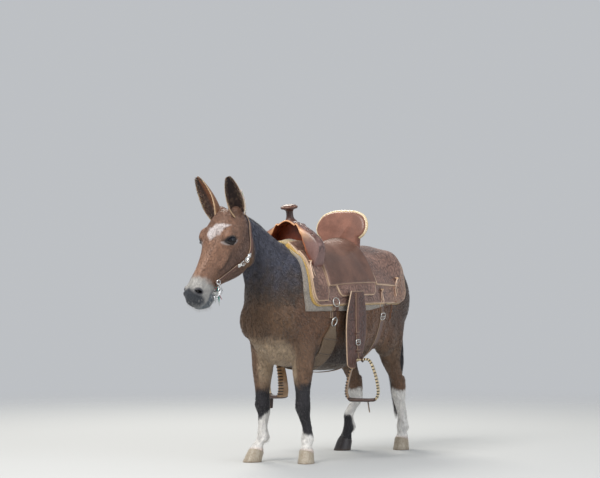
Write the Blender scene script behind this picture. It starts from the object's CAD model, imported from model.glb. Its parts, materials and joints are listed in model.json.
"""The visual model of the miniature mule in western tack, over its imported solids.

Everything is made in the solids' own design frame. finished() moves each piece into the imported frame.
"""
import json
import math

import bmesh
import bpy
import numpy as np
from mathutils import Matrix, Vector
from mathutils.bvhtree import BVHTree

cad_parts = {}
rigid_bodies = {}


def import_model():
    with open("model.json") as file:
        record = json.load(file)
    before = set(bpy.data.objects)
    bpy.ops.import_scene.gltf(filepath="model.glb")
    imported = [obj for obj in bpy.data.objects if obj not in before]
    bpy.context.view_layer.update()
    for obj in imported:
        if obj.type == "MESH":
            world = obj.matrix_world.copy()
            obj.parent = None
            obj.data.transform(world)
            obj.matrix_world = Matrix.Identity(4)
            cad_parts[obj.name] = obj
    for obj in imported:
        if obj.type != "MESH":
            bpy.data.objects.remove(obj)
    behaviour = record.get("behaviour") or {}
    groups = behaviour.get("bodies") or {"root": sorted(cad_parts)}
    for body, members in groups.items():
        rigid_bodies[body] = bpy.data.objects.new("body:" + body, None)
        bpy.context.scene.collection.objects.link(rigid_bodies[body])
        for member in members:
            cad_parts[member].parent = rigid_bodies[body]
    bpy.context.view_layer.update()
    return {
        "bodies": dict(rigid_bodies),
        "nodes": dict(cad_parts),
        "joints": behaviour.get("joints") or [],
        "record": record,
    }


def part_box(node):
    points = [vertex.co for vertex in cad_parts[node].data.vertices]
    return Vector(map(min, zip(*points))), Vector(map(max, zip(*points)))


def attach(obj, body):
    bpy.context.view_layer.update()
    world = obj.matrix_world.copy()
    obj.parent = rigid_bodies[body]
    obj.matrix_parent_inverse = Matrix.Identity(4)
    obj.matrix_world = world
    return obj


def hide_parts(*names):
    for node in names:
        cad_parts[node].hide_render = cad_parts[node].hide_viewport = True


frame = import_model()
RNG = np.random.default_rng(11)

CUT_GAP = 0.0004        # left by a cut through flesh
ACROSS, ALONG, UP = Vector((1, 0, 0)), Vector((0, 1, 0)), Vector((0, 0, 1))
SIDES = (("left", 1), ("right", -1))

# The trunk, as seen from the side: y, back, widest height, belly, half width, how pointed the back is.
TRUNK = (
    (-0.448, 0.620, 0.555, 0.495, 0.050, 1.00),
    (-0.422, 0.690, 0.550, 0.440, 0.090, 1.00),
    (-0.378, 0.755, 0.540, 0.382, 0.116, 1.10),
    (-0.320, 0.800, 0.540, 0.355, 0.128, 1.25),
    (-0.260, 0.815, 0.535, 0.346, 0.138, 1.30),
    (-0.170, 0.800, 0.530, 0.336, 0.154, 1.15),
    (-0.050, 0.778, 0.535, 0.326, 0.166, 1.00),
    (0.090, 0.774, 0.550, 0.334, 0.166, 0.95),
    (0.200, 0.784, 0.575, 0.372, 0.150, 0.92),
    (0.300, 0.776, 0.595, 0.435, 0.134, 0.92),
    (0.370, 0.746, 0.605, 0.480, 0.114, 0.95),
    (0.425, 0.700, 0.600, 0.520, 0.078, 1.00),
    (0.448, 0.655, 0.595, 0.555, 0.040, 1.00),
)

# The neck: crest y and z, throat y and z, sideways shift, half width.
NECK = (
    (-0.230, 0.800, -0.320, 0.410, 0.000, 0.098),
    (-0.310, 0.803, -0.412, 0.480, 0.000, 0.096),
    (-0.375, 0.824, -0.448, 0.565, -0.002, 0.085),
    (-0.440, 0.860, -0.466, 0.635, -0.009, 0.073),
    (-0.505, 0.893, -0.478, 0.695, -0.020, 0.063),
    (-0.565, 0.912, -0.490, 0.742, -0.031, 0.057),
    (-0.600, 0.912, -0.508, 0.772, -0.038, 0.051),
)

# The head's own frame: down the face, towards the jaw, and to the mule's left.
POLL = Vector((-0.042, -0.626, 0.924))
HEAD_YAW = math.radians(8.5)        # to the mule's right
FACE_PITCH = math.radians(32.0)     # of the face, forward of plumb
AHEAD = Vector((-math.sin(HEAD_YAW), -math.cos(HEAD_YAW), 0))
FACE = AHEAD * math.sin(FACE_PITCH) - UP * math.cos(FACE_PITCH)
JAW = -AHEAD * math.cos(FACE_PITCH) - UP * math.sin(FACE_PITCH)
LEFT = Vector((math.cos(HEAD_YAW), -math.sin(HEAD_YAW), 0))

# The head, from poll to lips: distance down the face, its front, its widest and its jaw line, half width.
HEAD = (
    (-0.020, 0.030, 0.070, 0.120, 0.042),
    (0.005, 0.002, 0.068, 0.168, 0.059),
    (0.045, -0.009, 0.058, 0.197, 0.069),
    (0.085, -0.010, 0.050, 0.209, 0.071),
    (0.125, -0.005, 0.050, 0.209, 0.065),
    (0.165, 0.002, 0.052, 0.192, 0.054),
    (0.205, 0.005, 0.050, 0.160, 0.043),
    (0.245, 0.005, 0.048, 0.126, 0.036),
    (0.290, 0.001, 0.045, 0.106, 0.037),
    (0.325, 0.000, 0.045, 0.110, 0.041),
    (0.352, 0.010, 0.052, 0.106, 0.037),
    (0.370, 0.032, 0.056, 0.084, 0.022),
)
EYE_DOWN, EYE_IN, EYE_OUT = 0.112, 0.036, 0.0600
EYE_RADIUS = 0.0200
LID = 0.0030
NOSTRIL_DOWN, NOSTRIL_IN, NOSTRIL_OUT = 0.332, 0.021, 0.031
MOUTH_FRONT, MOUTH_FRONT_IN = 0.368, 0.068
MOUTH_CORNER, MOUTH_CORNER_IN = 0.286, 0.088
MOUTH_TURN = 0.335      # where the lips begin to round to the front

# The legs: plumb places of the joints along y, for the left and right leg, and their heights.
LEG_OUT = 0.085
FORE = {"left": dict(hoof=-0.302, coronet=-0.290, fetlock=-0.268, knee=-0.298, elbow=-0.296, turn=24),
        "right": dict(hoof=-0.352, coronet=-0.336, fetlock=-0.306, knee=-0.308, elbow=-0.304, turn=18)}
HIND = {"left": dict(hoof=0.412, coronet=0.418, fetlock=0.430, hock=0.396, stifle=0.280, turn=12),
        "right": dict(hoof=0.268, coronet=0.282, fetlock=0.306, hock=0.350, stifle=0.235, turn=10)}
LEGS = [(kind, side, sign, legs[side]) for kind, legs in (("fore", FORE), ("hind", HIND))
        for side, sign in SIDES]
TURN_BELOW = 0.10       # the foot turns out below this height, in degrees as given above
# Rows down a leg: height, the joint the row sits at, its shift from there, half width, front and back halves.
FORE_ROWS = (
    (0.540, "elbow", -0.020, 0.036, 0.060, 0.050),
    (0.470, "elbow", -0.010, 0.044, 0.062, 0.058),
    (0.400, "elbow", 0.000, 0.043, 0.050, 0.052),
    (0.330, "elbow", -0.004, 0.037, 0.040, 0.040),
    (0.265, "knee", -0.002, 0.028, 0.028, 0.029),
    (0.228, "knee", 0.000, 0.028, 0.029, 0.026),
    (0.203, "knee", 0.000, 0.029, 0.031, 0.027),
    (0.172, "knee", 0.006, 0.022, 0.021, 0.027),
    (0.130, "fetlock", -0.004, 0.0175, 0.018, 0.023),
    (0.105, "fetlock", -0.002, 0.020, 0.020, 0.026),
    (0.086, "fetlock", 0.000, 0.0245, 0.024, 0.028),
    (0.064, "coronet", 0.008, 0.0205, 0.021, 0.022),
    (0.046, "coronet", 0.000, 0.0265, 0.029, 0.026),
    (0.036, "coronet", -0.003, 0.0270, 0.030, 0.027),
)
HIND_ROWS = (
    (0.560, "stifle", 0.060, 0.040, 0.095, 0.085),
    (0.480, "stifle", 0.042, 0.047, 0.086, 0.090),
    (0.410, "stifle", 0.044, 0.043, 0.066, 0.070),
    (0.345, "hock", -0.058, 0.033, 0.044, 0.046),
    (0.290, "hock", -0.020, 0.027, 0.031, 0.036),
    (0.258, "hock", 0.000, 0.027, 0.030, 0.035),
    (0.225, "hock", 0.003, 0.028, 0.031, 0.030),
    (0.190, "hock", 0.006, 0.023, 0.023, 0.027),
    (0.140, "fetlock", -0.006, 0.0185, 0.020, 0.024),
    (0.108, "fetlock", -0.002, 0.0205, 0.021, 0.026),
    (0.088, "fetlock", 0.000, 0.0250, 0.024, 0.029),
    (0.064, "coronet", 0.008, 0.0205, 0.021, 0.022),
    (0.046, "coronet", 0.000, 0.0260, 0.028, 0.026),
    (0.036, "coronet", -0.003, 0.0265, 0.029, 0.027),
)
CORONET_RISE = 0.020    # from heel to toe, over the hoof's length
HOOF_LONG = 0.058
CORONET_Z = 0.041
HOOF_WIDE, HOOF_TOE, HOOF_HEEL = 0.0310, 0.043, 0.030

# Where the head begins: a point on the plane and its normal, towards the head.
HEAD_CUT = (Vector((-0.034, -0.562, 0.83)), Vector((-0.10, -0.97, -0.20)))
LEG_TOP = 0.38
EARS = {
    # root across, root down, root inwards; lean ahead, out and up; which way the cup opens
    "left": dict(root=(0.042, 0.006, 0.050), reach=(0.070, 0.010, 0.143), opens=(0.66, 0.70)),
    "right": dict(root=(0.043, 0.006, 0.046), reach=(0.058, 0.063, 0.145), opens=(0.96, 0.02)),
}
# Along an ear from root to tip: how far along, the cup's radius, and how far round it closes, in degrees.
EAR_ROWS = ((0.00, 0.0225, 158), (0.12, 0.0250, 142), (0.28, 0.0285, 118), (0.46, 0.0295, 99),
            (0.64, 0.0275, 86), (0.80, 0.0235, 74), (0.91, 0.0190, 60), (0.97, 0.0150, 44),
            (1.00, 0.0120, 22))

TAIL_ROOT = Vector((0.0, 0.418, 0.700))
TAIL_TIP_Z = 0.100
TAIL_SWING = 0.018      # of the tip towards the left

MANE_FRONT, MANE_BACK = -0.535, -0.372
MANE_HIGH = 0.013
TRUNK_AXIS_Z = 0.560
PAD_THICK = 0.0100
PAD_FRONT, PAD_BACK, PAD_LOW = -0.352, 0.325, 92
SKIRT_FRONT, SKIRT_BACK, SKIRT_TOP, SKIRT_LOW = -0.318, 0.358, 7, 84
TREE_LIFT = 0.0215              # of the tree over the skin, about
FORK_FRONT, FORK_BACK = -0.282, -0.222
SEAT_LOW = 60
CANTLE_FRONT, CANTLE_BACK, CANTLE_LEAN = 0.088, 0.116, 0.30
JOCKEY_THICK = 0.0045
STIRRUP_TOP_Z, STIRRUP_LOW_Z = 0.372, 0.222
FENDER_Y, STIRRUP_Y = -0.098, -0.060
STIRRUP_TURN = 22               # degrees, toes of the tread outwards
CINCH_Y, CINCH_HALF = -0.196, 0.040
REAR_CINCH_Y, REAR_CINCH_HALF = 0.150, 0.018
RING_ANGLE = 106
BIT_OUT = 0.036                 # of the bit's rings from the head's middle, at least


def mesh_object(name, verts, faces):
    mesh = bpy.data.meshes.new(name)
    mesh.from_pydata([tuple(v) for v in verts], [], faces)
    bm = bmesh.new()
    bm.from_mesh(mesh)
    bmesh.ops.recalc_face_normals(bm, faces=bm.faces)
    bm.to_mesh(mesh)
    bm.free()
    return linked(name, mesh)


def linked(name, data):
    """A new object of the data, in the scene."""
    obj = bpy.data.objects.new(name, data)
    bpy.context.scene.collection.objects.link(obj)
    return obj


def tree_of(obj):
    return BVHTree.FromObject(obj, bpy.context.evaluated_depsgraph_get())


def remove(obj):
    mesh = obj.data
    bpy.data.objects.remove(obj, do_unlink=True)
    if mesh.users == 0:
        bpy.data.meshes.remove(mesh)


def bake(obj):
    """Replaces the object's mesh with what its modifiers make of it."""
    graph = bpy.context.evaluated_depsgraph_get()
    mesh = bpy.data.meshes.new_from_object(obj.evaluated_get(graph), depsgraph=graph)
    old = obj.data
    obj.modifiers.clear()
    obj.data = mesh
    if old.users == 0:
        bpy.data.meshes.remove(old)


def boolean(obj, cutter, operation):
    """Cuts or joins with the cutter, which goes."""
    mod = obj.modifiers.new("Boolean", "BOOLEAN")
    mod.operation = operation
    mod.solver = "MANIFOLD"
    mod.object = cutter
    bake(obj)
    remove(cutter)


def keep_largest(obj):
    """Leaves the closed surface that spans the most, and drops the scraps."""
    bm = bmesh.new()
    bm.from_mesh(obj.data)
    seen, best = set(), []
    for start in bm.faces:
        if start in seen:
            continue
        stack, island = [start], []
        seen.add(start)
        while stack:
            face = stack.pop()
            island.append(face)
            for edge in face.edges:
                for other in edge.link_faces:
                    if other not in seen:
                        seen.add(other)
                        stack.append(other)
        if sum(f.calc_area() for f in island) > sum(f.calc_area() for f in best):
            best = island
    chosen = set(best)
    bmesh.ops.delete(bm, geom=[f for f in bm.faces if f not in chosen], context="FACES")
    bmesh.ops.delete(bm, geom=[v for v in bm.verts if not v.link_faces], context="VERTS")
    bm.to_mesh(obj.data)
    bm.free()
    return obj


def smooth_rows(rows, steps):
    """More rows between the given ones, on a curve through them."""
    out = []
    for i in range(len(rows) - 1):
        a = rows[max(i - 1, 0)]
        b, c = rows[i], rows[i + 1]
        d = rows[min(i + 2, len(rows) - 1)]
        for k in range(steps):
            t = k / steps
            out.append(tuple(
                0.5 * (2 * q + (r - p) * t + (2 * p - 5 * q + 4 * r - s) * t * t
                       + (3 * q - p - 3 * r + s) * t ** 3)
                for p, q, r, s in zip(a, b, c, d)))
    out.append(tuple(rows[-1]))
    return out


def section(centre, across, over, under, sides, top_power=1.0, low_power=1.0):
    """A closed ring. across, over and under are its half sizes as vectors."""
    ring = []
    for k in range(sides):
        turn = math.tau * k / sides
        c, s = math.cos(turn), math.sin(turn)
        power = top_power if s > 0 else low_power
        ring.append(centre + across * (math.copysign(abs(c) ** power, c))
                    + (over if s > 0 else under) * abs(s) ** (1.0 / power if power < 1 else 1.0))
    return ring


def loft(name, rings, closed=False):
    """A tube through rings of points, capped at its ends or closed on itself."""
    count, sides = len(rings), len(rings[0])
    faces = []
    for i in range(count if closed else count - 1):
        j = (i + 1) % count
        for k in range(sides):
            n = (k + 1) % sides
            faces.append((i * sides + k, i * sides + n, j * sides + n, j * sides + k))
    if not closed:
        faces += [tuple(range(sides)), tuple(range((count - 1) * sides, count * sides))]
    return mesh_object(name, [v for ring in rings for v in ring], faces)


def ellipsoid(name, centre, radii, axes=None, rings=12):
    bm = bmesh.new()
    bmesh.ops.create_uvsphere(bm, u_segments=2 * rings, v_segments=rings, radius=1.0)
    turn = Matrix.Identity(3)
    if axes is not None:
        turn = Matrix(axes).transposed()
    shape = turn @ Matrix.Diagonal(Vector(radii))
    for v in bm.verts:
        v.co = Vector(centre) + shape @ v.co
    mesh = bpy.data.meshes.new(name)
    bm.to_mesh(mesh)
    bm.free()
    return linked(name, mesh)


def head_point(down, inward, out=0.0):
    return POLL + FACE * down + JAW * inward + LEFT * out


def trunk_form():
    rings = []
    for y, top, wide, low, half, point in smooth_rows(TRUNK, 4):
        centre = Vector((0, y, wide))
        rings.append(section(centre, Vector((half, 0, 0)), UP * (top - wide), UP * (low - wide),
                             36, point, 0.92))
    return loft("trunk", rings)


def neck_form():
    rings = []
    for cy, cz, ty, tz, x, half in smooth_rows(NECK, 4):
        crest, throat = Vector((x, cy, cz)), Vector((x, ty, tz))
        centre = crest.lerp(throat, 0.55)
        rings.append(section(centre, Vector((half, 0, 0)), crest - centre, throat - centre, 28, 1.12, 1.0))
    return loft("neck form", rings)


def head_form():
    rings = []
    for down, front, wide, jaw, half in smooth_rows(HEAD, 4):
        centre = head_point(down, wide)
        rings.append(section(centre, LEFT * half, JAW * (front - wide), JAW * (jaw - wide), 28, 0.88, 1.05))
    return loft("head form", rings)


def turned(side, joints, z, point):
    """The point as the outward turn of the foot leaves it."""
    if z >= TURN_BELOW:
        return point
    sign = 1 if side == "left" else -1
    pivot = Vector((sign * LEG_OUT, joints["fetlock"], 0))
    share = min(1.0, (TURN_BELOW - z) / 0.03)
    spin = Matrix.Rotation(math.radians(joints["turn"]) * sign * share, 3, "Z")
    return pivot + spin @ (point - pivot)


def leg_form(side, joints, rows):
    sign = 1 if side == "left" else -1
    placed = [(z, joints[at] + shift, half, front, back) for z, at, shift, half, front, back in rows]
    rings = []
    for z, y, half, front, back in smooth_rows(placed, 3):
        ring = section(Vector((sign * LEG_OUT, y, z)), Vector((half, 0, 0)), ALONG * back, -ALONG * front, 22)
        rings.append([turned(side, joints, z, p) for p in ring])
    return loft("leg form", rings)


def muscles():
    """Rounded masses that swell out of the plain forms."""
    out = []
    for sign in (1, -1):
        fore = FORE["left" if sign > 0 else "right"]
        hind = HIND["left" if sign > 0 else "right"]
        for centre, radii in (
                ((0.074, -0.335, 0.610), (0.052, 0.085, 0.150)),      # shoulder blade
                ((0.082, -0.385, 0.520), (0.044, 0.052, 0.075)),      # point of the shoulder
                ((0.088, fore["elbow"] + 0.020, 0.445), (0.044, 0.062, 0.070)),
                ((0.042, -0.408, 0.510), (0.048, 0.042, 0.085)),      # breast
                ((0.066, 0.290, 0.680), (0.070, 0.140, 0.085)),       # croup
                ((0.078, 0.355, 0.590), (0.062, 0.098, 0.130)),       # thigh
                ((0.095, hind["stifle"] - 0.010, 0.455), (0.046, 0.064, 0.085)),
                ((0.060, 0.398, 0.560), (0.046, 0.056, 0.110)),       # buttock
                ((0.072, 0.190, 0.480), (0.072, 0.110, 0.080))):      # flank
            out.append(ellipsoid("mass", (sign * centre[0], centre[1], centre[2]), radii))
        hock = Vector((sign * LEG_OUT, hind["hock"] + 0.030, 0.268))
        out.append(ellipsoid("mass", hock, (0.013, 0.016, 0.028)))
        frame = (LEFT, FACE, JAW)
        for down, inward, side, radii in (
                (0.098, 0.022, 0.057, (0.021, 0.034, 0.023)),         # brow
                (0.092, 0.130, 0.040, (0.030, 0.070, 0.068)),         # cheek
                (0.150, 0.062, 0.046, (0.013, 0.070, 0.012)),         # ridge below the eye
                (0.328, 0.026, 0.028, (0.015, 0.024, 0.018)),         # nostril wing
                (0.342, 0.052, 0.022, (0.018, 0.028, 0.026)),         # upper lip
                (0.320, 0.094, 0.018, (0.019, 0.036, 0.018)),         # chin and lower lip
                (0.000, 0.036, 0.036, (0.024, 0.030, 0.034))):        # root of the ear
            out.append(ellipsoid("mass", head_point(down, inward, sign * side), radii, frame))
    return out


def coronet_top(y_centre, shift):
    """The plane between pastern and hoof: a point on it and its upward normal."""
    return Vector((0, y_centre, CORONET_Z + shift)), Vector((0, CORONET_RISE / HOOF_LONG, 1)).normalized()


def tube_mesh(name, points, radius, sides, closed=False, flat=1.0, flat_axis=None):
    """A round wire through the points. flat squeezes it, across flat_axis where that is given."""
    rings = []
    count = len(points)
    last = None
    for i, p in enumerate(points):
        if closed:
            ahead = (points[(i + 1) % count] - points[i - 1]).normalized()
        else:
            ahead = (points[min(i + 1, count - 1)] - points[max(i - 1, 0)]).normalized()
        side = flat_axis if flat_axis is not None else (last if last is not None else ahead.orthogonal())
        side = (side - ahead * side.dot(ahead)).normalized()
        last = side
        other = ahead.cross(side)
        r = radius[i] if isinstance(radius, (list, tuple)) else radius
        rings.append([p + side * (r * math.cos(math.tau * (k + 0.5) / sides))
                      + other * (r * flat * math.sin(math.tau * (k + 0.5) / sides)) for k in range(sides)])
    return loft(name, rings, closed)


def blend(value, stops):
    """A value read off straight lines between (place, value) stops."""
    if value <= stops[0][0]:
        return stops[0][1]
    for (a, va), (b, vb) in zip(stops, stops[1:]):
        if value <= b:
            return va + (vb - va) * (value - a) / (b - a)
    return stops[-1][1]


def spread(start, end, count):
    return [start + (end - start) * i / count for i in range(count + 1)]


def rounded(angle, low, front, back, round_front, round_back):
    """The y ends of a sheet whose lower corners are rounded, over the last degrees before its edge."""
    t = max(0.0, (angle - (low - 22)) / 22)
    dip = 1 - math.sqrt(max(0.0, 1 - t * t))
    return front + round_front * dip, back - round_back * dip


def crest_line(y):
    """The crest's sideways place at y."""
    for a, b in zip(NECK, NECK[1:]):
        if b[0] <= y <= a[0]:
            t = (y - a[0]) / (b[0] - a[0])
            return a[4] + (b[4] - a[4]) * t
    return NECK[-1][4] if y < NECK[-1][0] else 0.0


def tail_line(t):
    """The middle of the tail at t, from 0 at the root to 1 at the tip."""
    y = TAIL_ROOT.y + 0.078 * (1 - math.exp(-6 * t)) + 0.012 * math.sin(math.pi * t)
    z = TAIL_ROOT.z + 0.010 * math.sin(math.pi * min(1, t * 5)) - (TAIL_ROOT.z - TAIL_TIP_Z) * t ** 1.05
    return Vector((TAIL_SWING * t * t, y, z))


SHIFT = (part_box("eye_left")[0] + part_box("eye_left")[1]) / 2 - head_point(EYE_DOWN, EYE_IN, EYE_OUT)


def srgb(red, green, blue):
    """A linear colour from 0 to 255 screen values."""
    out = []
    for c in (red, green, blue):
        c = c / 255
        out.append(c / 12.92 if c <= 0.04045 else ((c + 0.055) / 1.055) ** 2.4)
    return tuple(out)


def points_of(mesh):
    co = np.empty(len(mesh.vertices) * 3, np.float32)
    mesh.vertices.foreach_get("co", co)
    return co.reshape(-1, 3).astype(float)


def normals_of(mesh):
    co = np.empty(len(mesh.vertices) * 3, np.float32)
    mesh.vertex_normals.foreach_get("vector", co)
    return co.reshape(-1, 3).astype(float)


def set_points(mesh, points):
    mesh.vertices.foreach_set("co", points.astype(np.float32).ravel())
    mesh.update()


def smoothstep(value, low, high):
    t = np.clip((value - low) / (high - low), 0, 1)
    return t * t * (3 - 2 * t)


def lattice_noise(points, scale, seed):
    """Smooth noise from 0 to 1 at points, with features about 1/scale metres across."""
    p = points * scale
    cell = np.floor(p).astype(np.int64)
    part = p - cell
    part = part * part * (3 - 2 * part)
    total = np.zeros(len(points))
    for dx in (0, 1):
        for dy in (0, 1):
            for dz in (0, 1):
                c = cell + np.array([dx, dy, dz])
                h = (c[:, 0] * 73856093) ^ (c[:, 1] * 19349663) ^ (c[:, 2] * 83492791) ^ (seed * 2654435)
                h = (h ^ (h >> 13)) * 1274126177 & 0x7FFFFFFF
                value = (h % 65536) / 65535
                weight = ((part[:, 0] if dx else 1 - part[:, 0]) * (part[:, 1] if dy else 1 - part[:, 1])
                          * (part[:, 2] if dz else 1 - part[:, 2]))
                total += value * weight
    return total


def head_coords(points):
    rel = points - np.array(POLL)
    return rel @ np.array(FACE), rel @ np.array(JAW), rel @ np.array(LEFT)


def past_cut(points):
    """How far each point is past the plane where the head begins."""
    return (points - np.array(HEAD_CUT[0])) @ np.array(Vector(HEAD_CUT[1]).normalized())


def nostril_distance(local, squash):
    """How far each point, as the head's down, inward and out, is from the nostril's middle."""
    return np.linalg.norm((local - np.array((NOSTRIL_DOWN, NOSTRIL_IN, NOSTRIL_OUT))) * squash, axis=1)


def line_distance(points, line):
    """The distance from each point to a run of straight pieces."""
    best = np.full(len(points), 9.0)
    line = [np.array(p, float) for p in line]
    for a, b in zip(line, line[1:]):
        run = b - a
        t = np.clip(((points - a) @ run) / max(run @ run, 1e-12), 0, 1)
        best = np.minimum(best, np.linalg.norm(points - a - t[:, None] * run, axis=1))
    return best


def bump_at(points, centre, radius):
    d = np.linalg.norm((points - np.array(centre)) / np.array(radius), axis=1)
    return np.exp(-d * d)


def flesh():
    """Every soft form fused into one skin."""
    forms = [trunk_form(), neck_form(), head_form()] + muscles()
    forms += [leg_form(side, joints, FORE_ROWS if kind == "fore" else HIND_ROWS)
              for kind, side, _, joints in LEGS]
    for sign in (1, -1):
        centre = head_point(EYE_DOWN, EYE_IN, sign * EYE_OUT)
        forms.append(ellipsoid("lids", centre, [EYE_RADIUS + LID * 0.9] * 3, rings=20))
    verts, faces = [], []
    for obj in forms:
        base = len(verts)
        verts += [v.co.copy() for v in obj.data.vertices]
        faces += [tuple(base + i for i in p.vertices) for p in obj.data.polygons]
        remove(obj)
    mesh = bpy.data.meshes.new("skin")
    mesh.from_pydata(verts, [], faces)
    obj = linked("skin", mesh)
    fuse = obj.modifiers.new("Fuse", "REMESH")
    fuse.mode = "VOXEL"
    fuse.voxel_size = SKIN_VOXEL
    bake(obj)
    place = points_of(obj.data)
    behind = (place - np.array(HEAD_CUT[0])) @ np.array(HEAD_CUT[1]) < -0.02
    weight = np.where(behind, np.clip((place[:, 2] - LEG_TOP) / 0.08, 0, 1), 0)
    near = weight > 0
    place = smoothed(obj.data, place, np.ones(len(place)), SOFT_ROUNDS)
    place = smoothed(obj.data, place, weight * near, BULK_ROUNDS)
    set_points(obj.data, place)
    return keep_largest(obj)


def smoothed(mesh, place, weight, rounds):
    """Points drawn towards the middle of their neighbours, round after round."""
    edges = np.empty(len(mesh.edges) * 2, np.int32)
    mesh.edges.foreach_get("vertices", edges)
    a, b = edges.reshape(-1, 2).T
    count = np.bincount(a, minlength=len(place)) + np.bincount(b, minlength=len(place))
    count = np.maximum(count, 1)[:, None]
    share = 0.5 * weight[:, None]
    for _ in range(rounds):
        total = np.empty_like(place)
        for axis in range(3):
            total[:, axis] = (np.bincount(a, place[b, axis], len(place))
                              + np.bincount(b, place[a, axis], len(place)))
        place = place + (total / count - place) * share
    return place


def split_faces(obj, chosen):
    """Cuts each chosen face into four."""
    bm = bmesh.new()
    bm.from_mesh(obj.data)
    bm.faces.ensure_lookup_table()
    faces = [f for f in bm.faces if chosen(f.calc_center_median())]
    edges = list({e for f in faces for e in f.edges})
    bmesh.ops.subdivide_edges(bm, edges=edges, cuts=1, use_grid_fill=True)
    bmesh.ops.triangulate(bm, faces=[f for f in bm.faces if len(f.verts) > 4])
    bm.to_mesh(obj.data)
    bm.free()


SKIN_VOXEL = 0.0038
SOFT_ROUNDS, BULK_ROUNDS = 11, 62
COAT_DEPTH = 0.0012


def eye_axes(sign):
    """Centre, outward, along and upward directions of an eye's opening."""
    out = (LEFT * sign + FACE * 0.02 - JAW * 0.22).normalized()
    along = FACE * 0.60 - JAW * 0.80
    along = (along - out * along.dot(out)).normalized()
    across = out.cross(along)
    if across.dot(JAW) > 0:
        across = -across
    return head_point(EYE_DOWN, EYE_IN, sign * EYE_OUT), out, along, across


EYE_LONG, EYE_HIGH, EYE_LOW = 0.0195, 0.0112, 0.0098


def round_eye(points, sign):
    """Which points are near an eye, their reach as a share of its opening, and their height in it."""
    centre, _, along, across = eye_axes(sign)
    rel = points - np.array(centre)
    a, b = rel @ np.array(along), rel @ np.array(across)
    reach = np.sqrt((a / EYE_LONG) ** 2 + (b / np.where(b > 0, EYE_HIGH, EYE_LOW)) ** 2)
    return np.linalg.norm(rel, axis=1) < 0.045, reach, b


def lid_line(sign, grow, reach, start=0.0, end=math.tau, steps=28):
    """Points round the opening, grown by a factor, on a ball of the given radius."""
    centre, out, along, across = eye_axes(sign)
    line = []
    for k in range(steps + 1):
        turn = start + (end - start) * k / steps
        c, s = math.cos(turn), math.sin(turn)
        rise = math.copysign((EYE_HIGH if s > 0 else EYE_LOW) * abs(s) ** 1.15, s)
        flat = along * (EYE_LONG * c * grow) + across * (rise * grow)
        line.append(centre + flat + out * math.sqrt(max(0.0, reach * reach - flat.length_squared)))
    return line


def sculpt_head(points):
    """How far each point of the skin moves out, for the folds and bones of the head."""
    down, inward, out = head_coords(points)
    local = np.stack([down, inward, np.abs(out)], axis=1)
    move = np.zeros(len(points))
    for centre, radius, height in (
            ((0.070, 0.026, 0.044), (0.014, 0.011, 0.02), -0.0030),    # hollow above the eye
            ((0.290, 0.034, 0.030), (0.018, 0.010, 0.02), -0.0018),    # soft part behind the nostril
            ((0.352, 0.044, 0.020), (0.016, 0.016, 0.02), 0.0016),     # upper lip
            ((0.342, 0.106, 0.000), (0.018, 0.012, 0.02), 0.0022),     # chin
            ((0.322, 0.100, 0.024), (0.016, 0.006, 0.02), -0.0014),
            ((0.185, 0.030, 0.036), (0.030, 0.014, 0.02), -0.0020),    # flat of the nose
            ((0.240, 0.075, 0.030), (0.030, 0.018, 0.02), -0.0024),    # hollow of the cheek
            ((0.020, 0.075, 0.050), (0.020, 0.024, 0.02), 0.0012)):
        move += height * bump_at(local, centre, radius)
    for line, width, height in (
            (((0.132, 0.056, 0.055), (0.165, 0.060, 0.050), (0.208, 0.058, 0.040)), 0.0065, 0.0030),
            (((0.140, 0.075, 0.055), (0.190, 0.078, 0.045), (0.235, 0.070, 0.034)), 0.0075, -0.0016),
            (((0.130, 0.006, 0.026), (0.210, 0.010, 0.021), (0.290, 0.010, 0.017)), 0.0050, 0.0012),
            (((0.050, 0.184, 0.05), (0.100, 0.190, 0.05), (0.138, 0.172, 0.048), (0.155, 0.130, 0.05),
              (0.150, 0.095, 0.054)), 0.0060, -0.0022),
            (((0.345, 0.012, 0.0), (0.366, 0.045, 0.0)), 0.0030, -0.0012)):
        d = line_distance(local, line)
        move += height * np.exp(-(d / width) ** 2)
    move += 0.0017 * np.exp(-((nostril_distance(local, (1, 0.72, 0.8)) - 0.0145) / 0.0042) ** 2)
    for sign in (1, -1):
        for grow, reach, start, end, width, height in (
                (1.42, 0.0222, 0.25, math.pi - 0.2, 0.0018, -0.0016),
                (1.22, 0.0226, 0.1, math.pi - 0.1, 0.0020, 0.0013),
                (1.75, 0.0260, 0.5, math.pi - 0.5, 0.0026, -0.0011),
                (1.24, 0.0226, math.pi + 0.1, math.tau - 0.1, 0.0020, 0.0009),
                (1.48, 0.0222, math.pi + 0.3, math.tau - 0.3, 0.0020, -0.0012)):
            d = line_distance(points, lid_line(sign, grow, reach, start, end, 16))
            move += height * np.exp(-(d / width) ** 2)
    return move


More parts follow.
